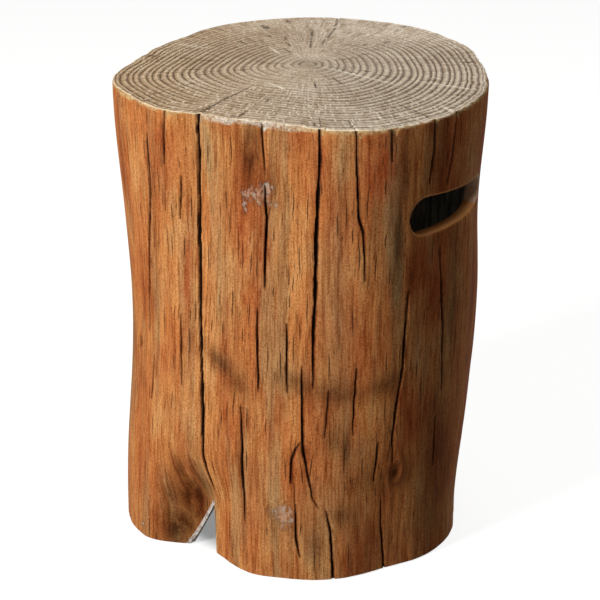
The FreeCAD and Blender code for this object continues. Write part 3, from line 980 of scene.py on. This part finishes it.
def wood_zones(tree, place):
    """Cloudy tan-orange wood with grey-green and red zones under a dull haze."""
    clouds = noise(place, 52.0, 4.0, 0.6, 0.45)
    wood = ramp(clouds, [(0.3, "#a66336"), (0.43, "#ba7643"), (0.54, "#c5874f"), (0.68, "#cb9862")])
    green = noise(place, 24.0, 4.0, squeeze=0.1)
    wood = zone(tree, wood, green, (0.5, 0.66, 0.0, 0.55), "olive", (0.3, 0.55, 0.25, 0.8), "#a3875e")
    thick = noise(place, 40.0, 4.0, 0.6, 0.28)
    wood = zone(tree, wood, thick, (0.53, 0.7, 0.0, 0.6), "red", (0.34, 0.56, 0.2, 0.85), "#a4552d")
    haze = spread(noise(place, 66.0, 4.0, 0.6, 0.5), 0.5, 0.68, 0.0, 0.35)
    return mix(haze, wood, paint("#986d4a"))


def hair_checks(tree, place):
    """Mask of the wood's finest checks, more of them where it is marked as checked."""
    parts = apart(place)
    bearing = maths("ARCTAN2", parts["X"], times(parts["Y"], -1.0))
    sway = times(noise(place, 30.0, 2.0), 5.0)
    across = plus(times(bearing, TRUNK_RADIUS), sway)
    up = times(parts["Z"], 1000.0)
    chance = plus(times(mark(tree, "checked"), 0.6), 0.14)
    coarse = hair_lines(across, up, (8.0, 58.0), 0.8, chance)
    fine = hair_lines(plus(across, 3.0), up, (4.5, 26.0), 0.6, times(chance, 0.6))
    return maths("MAXIMUM", coarse, times(fine, 0.7))


def stained_side():
    """Acid stain and pigment washes rubbed over smooth cast cement, under a dull sealer:
    cloudy tan-orange wood with red and grey-green zones, near-black cracks and pale knocks, with painted
    shade among the dark washes in the valley over the hose gap and painted light on the far ends of the hand
    slots."""
    material, tree, shader = new_finish("stained_cement_wood", 0.7, 0.03)
    place = mark(tree, "grain_place", "Vector")
    wood = wood_zones(tree, place)
    streaks = noise(place, 7.0, 4.0, 0.6, 0.06)
    wood = shade(streaks, wood, [(0.3, "#d3bba8"), (0.52, "#ffffff"), (0.7, "#fff5ea")])
    grain = noise(place, 2.4, 2.0, 0.6, 0.07)
    wood = shade(grain, wood, [(0.34, "#d6c3b4"), (0.54, "#ffffff")])
    wood = shade(noise(place, 1.9, 3.0, 0.7), wood, [(0.34, "#c9b6a6"), (0.58, "#ffffff")])
    ragged = spread(noise(place, 12.0, 4.0, 0.6, 0.5), 0.2, 0.6, 0.55, 1.15)
    # Dark stain washes, with painted shade in the valley over the hose gap.
    smudge = times(mark(tree, "smudge"), ragged)
    wood = tint(maths("MINIMUM", smudge, 1.0), wood, "#6e5a45")
    checks = hair_checks(tree, place)
    wood = cover(checks, 0.85, wood, "#3b2010")
    wood = pale_patches(tree, wood, place)
    wood = worn_edges(tree, wood, place)
    depth = maths("MAXIMUM", crack_depth(tree, "crack_line_0"), crack_depth(tree, "crack_line_1"))
    wood = tint(spread(depth, -2.4, 0.3, 0.0, 0.8), wood, "#73503b")
    wood = mix(spread(depth, -0.25, 0.5), wood, paint("#1a0f08"))
    relief = plus(times(streaks, 0.6), times(grain, 0.3))
    surface(shader, wood, minus(relief, times(checks, 0.4)), 1.3, 0.45)
    return material


def pale_patches(tree, wood, place):
    """Brushed-off patches, broken pale grey and pinkish streaks with dark pits between them, the linings of
    the hand slots, and a painted pool of light on the far end wall of each slot."""
    scuffs = spread(noise(place, 4.2, 5.0, 0.75, 0.6), 0.36, 0.64)
    shown = plus(times(mark(tree, "pale"), 0.75), times(scuffs, 0.45))
    wood = tint(spread(shown, 0.55, 0.8, 0.0, 0.5), wood, "#8f7560")
    hue = ramp(noise(place, 9.0, 3.0), [(0.4, "#b48a70"), (0.5, "#a48f7b"), (0.62, "#a99f93")])
    wood = mix(spread(shown, 0.74, 1.08, 0.0, 0.75), wood, hue)
    wood = cover(mark(tree, "slot_lining"), 0.8, wood, "#dd9a5c")
    # Painted light: a pale tan on the far end wall of each slot, which the lamps leave in shade.
    return mix(mark(tree, "slot_end"), wood, paint("#f2cba8"))


def worn_edges(tree, wood, place):
    """The worn rim, white in places and ochre elsewhere, and the cut edge of the hose gap."""
    crumbs = noise(place, 3.4, 4.0, 0.7)
    old = ramp(crumbs, [(0.36, "#7b5a3a"), (0.5, "#a98556"), (0.64, "#c3a577")])
    white = ramp(crumbs, [(0.36, "#85705b"), (0.48, "#ac9d8b"), (0.62, "#cbc5bb")])
    rim = mix(mark(tree, "bleached"), old, white)
    wood = mix(times(mark(tree, "worn_rim"), spread(crumbs, 0.3, 0.46)), wood, rim)
    edge = ramp(crumbs, [(0.36, "#6f625a"), (0.5, "#ab9f97"), (0.62, "#cbc3bb")])
    return mix(spread(mark(tree, "gap_edge"), 0.42, 0.3), wood, edge)


def ring_bands(tree, wood, rays):
    """Beaded dirt in the ring grooves, darker late wood beside them and paler early wood between."""
    phase = mark(tree, "ring_phase")
    beads = spread(noise(rays, 5.5, 3.0, 0.6, 0.4), 0.34, 0.58, 0.35, 1.0)
    groove = times(spread(phase, 0.2, 0.03), beads)
    late = spread(phase, 0.42, 0.1, 0.0, 0.5)
    ring = times(maths("MAXIMUM", groove, late), mark(tree, "ring_strength"))
    early = times(spread(phase, 0.3, 0.5, 0.0, 0.4), beads)
    wood = mix(early, wood, paint("#eedcb9"))
    return cover(ring, 0.95, wood, "#634e3b")


def woven_marks(tree, wood, rays):
    """Short dark and pale ray marks, which in front cross the saw's at right angles."""
    parts = apart(rays)
    bearing = times(maths("ARCTAN2", parts["Y"], parts["X"]), RAY_RADIUS)
    distance = times(parts["Z"], 1000.0)
    woven = mark(tree, "woven")
    dark = hair_lines(bearing, distance, (4.6, 20.0), 0.5, times(woven, 0.5))
    wood = cover(dark, 0.55, wood, "#65533f")
    bearing = plus(bearing, 2.0)
    pale = hair_lines(bearing, distance, (4.0, 11.0), 0.75, times(woven, 0.75))
    return cover(pale, 0.5, wood, "#ecdfc8")


def sawn_end_grain():
    """Grey-brown pigment wiped over moulded growth rings, with a matt sealer: flat pale rings, dirt in
    the beaded grooves between them, and short saw and ray marks that make the front look woven."""
    material, tree, shader = new_finish("stained_cement_end_grain", 0.85, 0.08)
    place = object_place(tree)
    rays = mark(tree, "ray_place", "Vector")
    blotches = noise(place, 85.0, 3.0)
    # Warm on the left, greyer and paler on the right: the grey is weathering, and the paler right side is
    # painted light.
    warm = ramp(blotches, [(0.34, "#bb9c7c"), (0.5, "#cfb28f"), (0.66, "#d8be9d")])
    grey = ramp(blotches, [(0.34, "#c2b3a2"), (0.5, "#d3c5b4"), (0.66, "#e0d3c2")])
    across = plus(apart(place)["X"], times(blotches, 0.1))
    wood = mix(spread(across, -0.14, 0.12), warm, grey)
    pores = noise(rays, 3.2, 3.0, 0.6, 0.14)
    wood = shade(pores, wood, [(0.34, "#cfc4b7"), (0.56, "#ffffff")])
    specks = noise(place, 2.2, 3.0, 0.65)
    wood = shade(specks, wood, [(0.34, "#cbc0b3"), (0.56, "#ffffff")])
    saw_settings = {"Vector": place, "Scale": saw_scale(5.6), "Distortion": 0.6, "Detail": 1.0}
    saw = node(tree, "ShaderNodeTexWave", saw_settings, bands_direction="Y").outputs["Fac"]
    scored = times(spread(saw, 0.34, 0.0), mark(tree, "woven"))
    wood = cover(scored, 0.5, wood, "#7d6a55")
    wood = ring_bands(tree, wood, rays)
    wood = woven_marks(tree, wood, rays)
    centre = spread(times(apart(rays)["Z"], 1000.0), 26.0, 2.0)
    heart = times(centre, spread(pores, 0.4, 0.6))
    wood = cover(heart, 0.8, wood, "#5f5040")
    scratch = times(mark(tree, "scratch"), spread(specks, 0.3, 0.5, 0.1, 0.9))
    wood = mix(scratch, wood, paint("#f4ead6"))
    wood = mix(mark(tree, "check"), wood, paint("#2a1e14"))
    surface(shader, wood, plus(times(saw, 0.35), times(specks, 0.6)), 0.9, 0.6)
    return material


def saw_scale(spacing_mm):
    """Scale at which a wave texture's bands are this far apart."""
    return 2 * math.pi / 20 / (spacing_mm * MM)


def raw_cement():
    """Unstained fibre cement, laid up by hand: pale grey, rough, with glass strands showing."""
    material, tree, shader = new_finish("raw_fibre_cement", 0.9, 0.15)
    place = object_place(tree)
    patches = noise(place, 40.0, 4.0)
    grit = noise(place, 2.0, 4.0, 0.7)
    strands = noise(stretched(place, (1.0, 0.3, 0.12)), 5.0, 2.0)
    cement = ramp(patches, [(0.35, "#b5aea4"), (0.65, "#d3cdc3")])
    cement = mix(spread(strands, 0.52, 0.62, 0.0, 0.7), cement, paint("#e9e5de"))
    cement = mix(spread(strands, 0.46, 0.36, 0.0, 0.6), cement, paint("#8b837b"))
    cement = mix(spread(grit, 0.56, 0.7, 0.0, 0.4), cement, paint("#7b756b"))
    surface(shader, cement, plus(grit, strands), 1.2, 0.7)
    return material


def moulded_rubber():
    """Black moulded rubber: dark, dull, with a faint bloom."""
    material, tree, shader = new_finish("moulded_rubber", 0.72, 0.3)
    place = object_place(tree)
    rubber = ramp(noise(place, 6.0, 3.0), [(0.35, "#1a1a1a"), (0.65, "#2b2a29")])
    surface(shader, rubber, noise(place, 0.8, 2.0), 0.2, 0.3)
    return material


# Pieces

def give(piece, *materials):
    """Gives a piece these materials in place of its own."""
    piece.data.materials.clear()
    for material in materials:
        piece.data.materials.append(material)


def stump_side(stain, raw):
    """The stained coat: its worked outside, the bond face behind it and the slots' linings."""
    side = closed_form("stump_side", [side_ring(height) for height in row_heights(SIDE_ROWS)])
    cutter = core_form("hollow", bond_radius)
    for number, azimuth in enumerate(SLOT_AZIMUTHS):
        sleeve = prism("sleeve_%d" % number, slot_outline(SKIN), azimuth, SLEEVE_START, CUTTER_END)
        carve(cutter, sleeve, "DIFFERENCE")
    carve(cutter, core_form("core", inner_radius), "UNION")
    wall_openings(cutter)
    carve(side, cutter, "DIFFERENCE")
    mark_side(side.data)
    give(side, stain, raw)
    raw_cut_faces(side.data)
    smooth_faces(side, 42.0)
    return side


def raw_cut_faces(mesh):
    """The hose gap is cut after staining, so its faces, and all behind the coat, are raw."""
    azimuth, radius, height = vertex_places(mesh)
    below = side_radius(azimuth, height) - radius
    corners = np.zeros(len(mesh.loops), int)
    mesh.loops.foreach_get("vertex_index", corners)
    starts = np.zeros(len(mesh.polygons), int)
    mesh.polygons.foreach_get("loop_start", starts)
    deepest = np.maximum.reduceat(below[corners], starts)
    near_slot = np.full(azimuth.shape, FAR_AWAY)
    for slot_azimuth in SLOT_AZIMUTHS:
        near_slot = np.minimum(near_slot, slot_away(azimuth, radius, height, slot_azimuth))
    lining = np.maximum.reduceat(near_slot[corners], starts) < 1.0
    raw_face = (deepest > 2.5) & ~lining
    mesh.polygons.foreach_set("material_index", raw_face.astype(np.int32))


def ring_share(number):
    """Share of the way from the pith to the arris; outer years are narrower, and all are uneven."""
    part = number / RINGS
    uneven = 0.004 * math.sin(2.3 * number) * min(1.0, RINGS - number)
    return part + 0.16 * part * (1.0 - part) + uneven


def arris_radius(azimuth):
    """Rounding of the worn edge between the top and the side."""
    level = 0.0 * azimuth
    return 3.0 + 1.6 * ripple(azimuth, level, 48, 60.0, 61) + 0.9 * ripple(azimuth, level, 150, 60.0, 62)


def year_rings(side, arris):
    """Rings of points over the flat of the slab, from the pith outwards, and how far each lies from
    the nearest groove, as a share of a year."""
    level = np.full(COLUMNS.shape, ARRIS_LEVEL)
    rim = at(COLUMNS, side - arris, level)[:, :2]
    plain = at(COLUMNS, outer_radius(COLUMNS, level) - 3.0, level)[:, :2]
    rings = []
    phases = []
    for number in range(RINGS):
        for step in RING_STEPS:
            if number == 0 and step < 0.3:
                continue
            share = ring_share(number + step)
            sway = 0.006 * ripple(COLUMNS, np.full(COLUMNS.shape, share * 400.0), 14, 60.0, 63)
            sway = sway * 4 * share * (1 - share)
            edge = plain + (rim - plain) * ease((share - 0.8) / 0.2)
            flat = PITH + (edge - PITH) * (share + sway)[:, None]
            rings.append(np.column_stack([flat, np.full(len(flat), HEIGHT)]))
            phases.append(min(step, 1.0 - step))
    return rings, phases


def edge_rings(side, arris):
    """Rings of points round the arris, down the side of the slab and back under it to its spigot."""
    rings = []
    for step in range(ARRIS_STEPS + 1):
        angle = math.pi / 2 * step / ARRIS_STEPS
        out = side - arris * (1.0 - math.sin(angle))
        rings.append(at(COLUMNS, out, HEIGHT - arris * (1.0 - math.cos(angle))))
    rings += [side_ring(height) for height in (HEIGHT - 6.0, HEIGHT - 8.0, WALL_TOP)]
    spigot = inner_radius(COLUMNS, np.full(COLUMNS.shape, WALL_TOP)) - FIT_CLEARANCE
    for height in (WALL_TOP, WALL_TOP - SPIGOT_DEPTH):
        rings.append(at(COLUMNS, spigot, np.full(COLUMNS.shape, height)))
    return rings


# Radial drying checks in the top: width, depth, then points from the rim inwards.
TOP_CHECKS = [
    (4.6, 3.0, [(-115, -149), (-81, -90), (-58, -56)]),
    (1.6, 1.2, [(-178, -104), (-150, -90), (-123, -76)]),
    (2.2, 2.2, [(18.5, -209), (20, -186), (19, -160)]),
    (2.4, 2.2, [(59, -205), (53, -182), (50, -168)]),
    (2.0, 1.8, [(143, -170), (133, -152)]),
    (1.8, 1.6, [(-17.5, 199), (-14, 167)]),
    (2.0, 1.8, [(12.2, 186), (12, 130), (10, 88)]),
    (2.2, 2.0, [(124, 181), (110, 151)]),
    (2.6, 2.2, [(43, 206), (38, 160), (30, 128)]),
    (1.6, 1.4, [(190, 108), (160, 96)]),
]

# Pale scratches in the top: width, then two ends.
TOP_SCRATCHES = [
    (3.2, (12, 28), (109, -48)),
    (3.0, (125, -30), (206, -70)),
    (4.0, (-36, -41), (-15, -66)),
    (4.0, (-22, -5), (-8, -16)),
    (3.8, (-146, 108), (-106, 89)),
    (3.4, (-39, 97), (-23, 62)),
    (4.4, (150, -118), (169, -145)),
    (1.8, (88, -175), (80, -140)),
    (1.8, (110, -160), (104, -140)),
    (2.0, (-62, -62), (-48, -52)),
]


def line_away(points, start, end):
    """Distance of points from a straight line, and how far along it they are, 0 to 1."""
    start = np.asarray(start, float)
    run = np.asarray(end, float) - start
    share = np.clip(((points - start) @ run) / (run @ run), 0.0, 1.0)
    return np.linalg.norm(points - start - share[:, None] * run, axis=1), share


def draw_checks(points, sink, dark):
    """Deepens the sink and the darkness along the radial checks."""
    for width, depth, path in TOP_CHECKS:
        for piece, (start, end) in enumerate(zip(path, path[1:])):
            away, share = line_away(points, start, end)
            whole = (piece + share) / (len(path) - 1)
            length = np.linalg.norm(np.subtract(end, start))
            beads = 0.7 + 0.3 * np.cos(share * length / 6.5 * 2 * math.pi)
            opening = (1.0 - 0.6 * whole) * beads
            near = np.clip(1.2 - away / (width / 2 * np.maximum(opening, 0.05)), 0.0, 1.0)
            sink[:] = np.maximum(sink, depth * near * opening)
            dark[:] = np.maximum(dark, ease(near * 1.6) * (0.5 + 0.5 * beads))


def draw_short_lines(points, sink, dark):
    """Adds short thin radial lines at random places."""
    rng = np.random.default_rng(71)
    for _ in range(46):
        azimuth = rng.uniform(-180.0, 180.0)
        outer = rng.uniform(0.25, 1.0)
        inner = outer - rng.uniform(0.05, 0.16)
        rim = at(azimuth, radius_at(azimuth, WALL_TOP), 0.0)[:2]
        away, share = line_away(points, PITH + (rim - PITH) * outer, PITH + (rim - PITH) * inner)
        near = np.clip(1.0 - away / 1.5, 0.0, 1.0) * np.sin(np.pi * np.clip(share, 0.02, 0.98))
        dark[:] = np.maximum(dark, 0.75 * ease(near * 1.5))
        sink[:] = np.maximum(sink, 0.7 * near)


def top_marks(points):
    """Sink and darkness of the radial checks, and the pale scratches."""
    sink = np.zeros(len(points))
    dark = np.zeros(len(points))
    draw_checks(points, sink, dark)
    draw_short_lines(points, sink, dark)
    pale = np.zeros(len(points))
    for width, start, end in TOP_SCRATCHES:
        away, share = line_away(points, start, end)
        taper = np.sin(np.pi * np.clip(share, 0.1, 0.9))
        pale = np.maximum(pale, np.clip(1.3 - away / (width / 2), 0.0, 1.0) * taper)
    return sink, dark, pale


def stored_number(tree, name):
    """A mark of the mesh, read inside a Geometry Nodes tree."""
    return node(tree, "GeometryNodeInputNamedAttribute", {"Name": name}, data_type="FLOAT").outputs[0]


def growth_ring_tree(end_grain):
    """Geometry Nodes that press growth rings and drying checks into the top of the slab."""
    tree = bpy.data.node_groups.new("growth_rings", "GeometryNodeTree")
    face = tree.interface
    face.new_socket("Geometry", in_out="INPUT", socket_type="NodeSocketGeometry")
    for name in ("Groove Depth", "Groove Width", "Unevenness", "Check Depth"):
        face.new_socket(name, in_out="INPUT", socket_type="NodeSocketFloat")
    face.new_socket("Geometry", in_out="OUTPUT", socket_type="NodeSocketGeometry")
    start = node(tree, "NodeGroupInput").outputs
    phase = stored_number(tree, "ring_phase")
    flat = stored_number(tree, "on_top")
    place = node(tree, "GeometryNodeInputPosition").outputs[0]
    varied = node(tree, "ShaderNodeTexNoise", {"Vector": place, "Scale": 26.0, "Detail": 2.0}).outputs["Fac"]
    settings = {"Value": varied, 1: 0.3, 2: 0.7, 3: start["Unevenness"], 4: 1.0}
    strength = node(tree, "ShaderNodeMapRange", settings).outputs["Result"]
    grooved = times(times(spread(phase, start["Groove Width"], 0.0), strength), flat)
    crown = maths("POWER", times(phase, 2.0), 2.0)
    shallow = times(plus(times(crown, -0.3), 0.3), flat)
    checks = times(stored_number(tree, "check_sink"), start["Check Depth"])
    sink = plus(times(grooved, start["Groove Depth"]), checks)
    sink = plus(sink, times(shallow, start["Groove Depth"]))
    down = node(tree, "ShaderNodeCombineXYZ", {"Z": times(sink, -1.0)}).outputs[0]
    settings = {"Geometry": start["Geometry"], "Offset": down}
    pressed = node(tree, "GeometryNodeSetPosition", settings).outputs[0]
    real = node(tree, "GeometryNodeRealizeInstances", {"Geometry": pressed}).outputs[0]
    on_top = node(tree, "FunctionNodeCompare", {0: flat, 1: 0.5}, operation="GREATER_THAN").outputs[0]
    settings = {"Geometry": real, "Selection": on_top, "Material": end_grain}
    done = node(tree, "GeometryNodeSetMaterial", settings).outputs[0]
    node(tree, "NodeGroupOutput", {0: done})
    return tree


def set_inputs(modifier, **values):
    """Sets a tree's named inputs by their sockets' identifiers."""
    for item in modifier.node_group.interface.items_tree:
        key = item.name.lower().replace(" ", "_")
        if item.in_out == "INPUT" and key in values:
            modifier[item.identifier] = values[key]


def slab_mesh():
    """The slab's bare mesh, with its points, its faces and each point's share of a year."""
    side = side_radius(COLUMNS, np.full(COLUMNS.shape, ARRIS_LEVEL))
    arris = arris_radius(COLUMNS)
    rings, phases = year_rings(side, arris)
    edges = edge_rings(side, arris)
    rings = rings + edges
    phases = phases + [0.5] * len(edges)
    count = len(COLUMNS)
    first = np.append(PITH, HEIGHT)
    last = np.append(PITH, WALL_TOP - SPIGOT_DEPTH)
    points = np.concatenate([[first]] + rings + [[last]])
    faces = fan_faces(1, 0, count, True)
    for i in range(len(rings) - 1):
        faces += band_faces(1 + (i + 1) * count, 1 + i * count, count)
    faces += fan_faces(1 + (len(rings) - 1) * count, len(points) - 1, count, False)
    phase = np.concatenate([[0.5], np.repeat(phases, count), [0.5]])
    return mesh_object("stump_top", points, faces), points, faces, phase


def mark_top(mesh, points, phase):
    """Marks that the rings and the stain of the top follow."""
    on_top = points[:, 2] > HEIGHT - 0.01
    sink, dark, pale = top_marks(points[:, :2])
    away = points[:, :2] - PITH
    bearing = np.arctan2(away[:, 1], away[:, 0])
    distance = np.linalg.norm(away, axis=1)
    ray_place = np.column_stack([RAY_RADIUS * np.cos(bearing), RAY_RADIUS * np.sin(bearing), distance])
    keep_vectors(mesh, "ray_place", ray_place * MM)
    behind = ease((points[:, 1] - 60.0) / 90.0)
    in_front = ease((-40.0 - points[:, 1]) / 70.0)
    keep_marks(
        mesh,
        ring_phase=phase,
        on_top=on_top.astype(float),
        check_sink=sink / CHECK_DEPTH * on_top,
        check=dark * on_top,
        scratch=pale * on_top,
        ring_strength=(0.35 + 0.65 * ease(distance / RAY_RADIUS - 0.2)) * (1.0 - 0.5 * behind),
        woven=0.3 + 0.7 * in_front,
    )


def stain_top(mesh, points, faces):
    """Gives the top the first material, the edge the second, and the underside the third."""
    middles = np.array([points[list(f)].mean(axis=0) for f in faces])
    out = np.hypot(middles[:, 0], middles[:, 1])
    azimuth = np.degrees(np.arctan2(middles[:, 0], -middles[:, 1]))
    inside = out < outer_radius(azimuth, np.full(azimuth.shape, WALL_TOP)) - 8.0
    under = inside & (middles[:, 2] < WALL_TOP + 1)
    index = np.where(middles[:, 2] > HEIGHT - 1.2, 0, np.where(under, 2, 1))
    mesh.polygons.foreach_set("material_index", index.astype(np.int32))


def stump_top(end_grain, stain, raw):
    """The slab: rings and checks on its face, a worn arris, the side's grain on its edge, a spigot."""
    slab, points, faces, phase = slab_mesh()
    mesh = slab.data
    mark_side(mesh)
    mark_top(mesh, points, phase)
    give(slab, end_grain, stain, raw)
    stain_top(mesh, points, faces)
    modifier = slab.modifiers.new("growth_rings", "NODES")
    modifier.node_group = growth_ring_tree(end_grain)
    depths = {"groove_depth": GROOVE_DEPTH * MM, "check_depth": CHECK_DEPTH * MM}
    set_inputs(modifier, groove_width=0.16, unevenness=0.45, **depths)
    bake(slab)
    smooth_faces(slab, 55.0)
    return slab


# Stage, light and camera

def pale_floor():
    """Matt white floor; what the camera sees of it is lifted to white, less under the cover, and its
    shadow stays."""
    half = 8.0
    mesh = bpy.data.meshes.new("floor")
    corners = [(-half, -half, 0), (half, -half, 0), (half, half, 0), (-half, half, 0)]
    mesh.from_pydata(corners, [], [(0, 1, 2, 3)])
    floor = placed("floor", mesh)
    material = bpy.data.materials.new("white_studio_floor")
    tree = empty_tree(material)
    matt = node(tree, "ShaderNodeBsdfDiffuse", {"Color": paint("#a0a09e")}).outputs[0]
    place = object_place(tree)
    away = node(tree, "ShaderNodeVectorMath", {0: place}, operation="LENGTH").outputs["Value"]
    lift = seen(tree, spread(away, 0.14, 0.17, *FLOOR_LIFT))
    glow = node(tree, "ShaderNodeEmission", {"Color": paint("#ffffff"), "Strength": lift}).outputs[0]
    both = node(tree, "ShaderNodeAddShader", {0: matt, 1: glow}).outputs[0]
    node(tree, "ShaderNodeOutputMaterial", {"Surface": both})
    mesh.materials.append(material)


def seen(tree, strength):
    """The strength on rays that show the background, straight, mirrored or through glass, else 0."""
    path = node(tree, "ShaderNodeLightPath").outputs
    shown = maths("MAXIMUM", path["Is Camera Ray"], path["Is Glossy Ray"])
    shown = maths("MAXIMUM", shown, path["Is Transmission Ray"])
    return times(shown, strength)


def soft_world():
    world = bpy.data.worlds.new("studio")
    tree = empty_tree(world)
    strength = plus(seen(tree, 1.0 - AMBIENT), AMBIENT)
    sky = node(tree, "ShaderNodeBackground", {"Color": paint("#ffffff"), "Strength": strength})
    node(tree, "ShaderNodeOutputWorld", {"Surface": sky.outputs[0]})
    bpy.context.scene.world = world


def soft_lamp(name, place, aim, width, watts):
    lamp = bpy.data.lights.new(name, "AREA")
    lamp.shape = "DISK"
    lamp.size = width
    lamp.energy = watts
    stand = placed(name, lamp)
    stand.location = place
    stand.rotation_euler = (Vector(aim) - Vector(place)).to_track_quat("-Z", "Y").to_euler()


def photograph_camera():
    data = bpy.data.cameras.new("camera")
    data.lens = CAMERA_LENS
    data.sensor_width = 36.0
    camera = placed("camera", data)
    camera.location = CAMERA_PLACE
    camera.rotation_euler = (math.radians(CAMERA_TILT), 0.0, 0.0)
    bpy.context.scene.camera = camera


def dress():
    stain = stained_side()
    end_grain = sawn_end_grain()
    raw = raw_cement()
    rubber = moulded_rubber()
    side = stump_side(stain, raw)
    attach(side, "root")
    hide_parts("stump_skin")
    top = stump_top(end_grain, stain, raw)
    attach(top, "root")
    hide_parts("end_grain_top")
    for name in ("backing_wall", "top_backing", "corner_bead"):
        give(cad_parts[name], raw)
    for number in range(1, len(PAD_AZIMUTHS) + 1):
        give(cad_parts["foot_pad_%d" % number], rubber)


dress()
pale_floor()
soft_world()
soft_lamp("key", (-2.5, -2.3, 1.5), (0.0, 0.0, 0.3), 1.0, 159.0)
soft_lamp("top_light", (0.6, 0.4, 3.0), (0.0, 0.0, 0.5), 1.6, 38.0)
photograph_camera()
bpy.context.scene.view_settings.view_transform = "Standard"
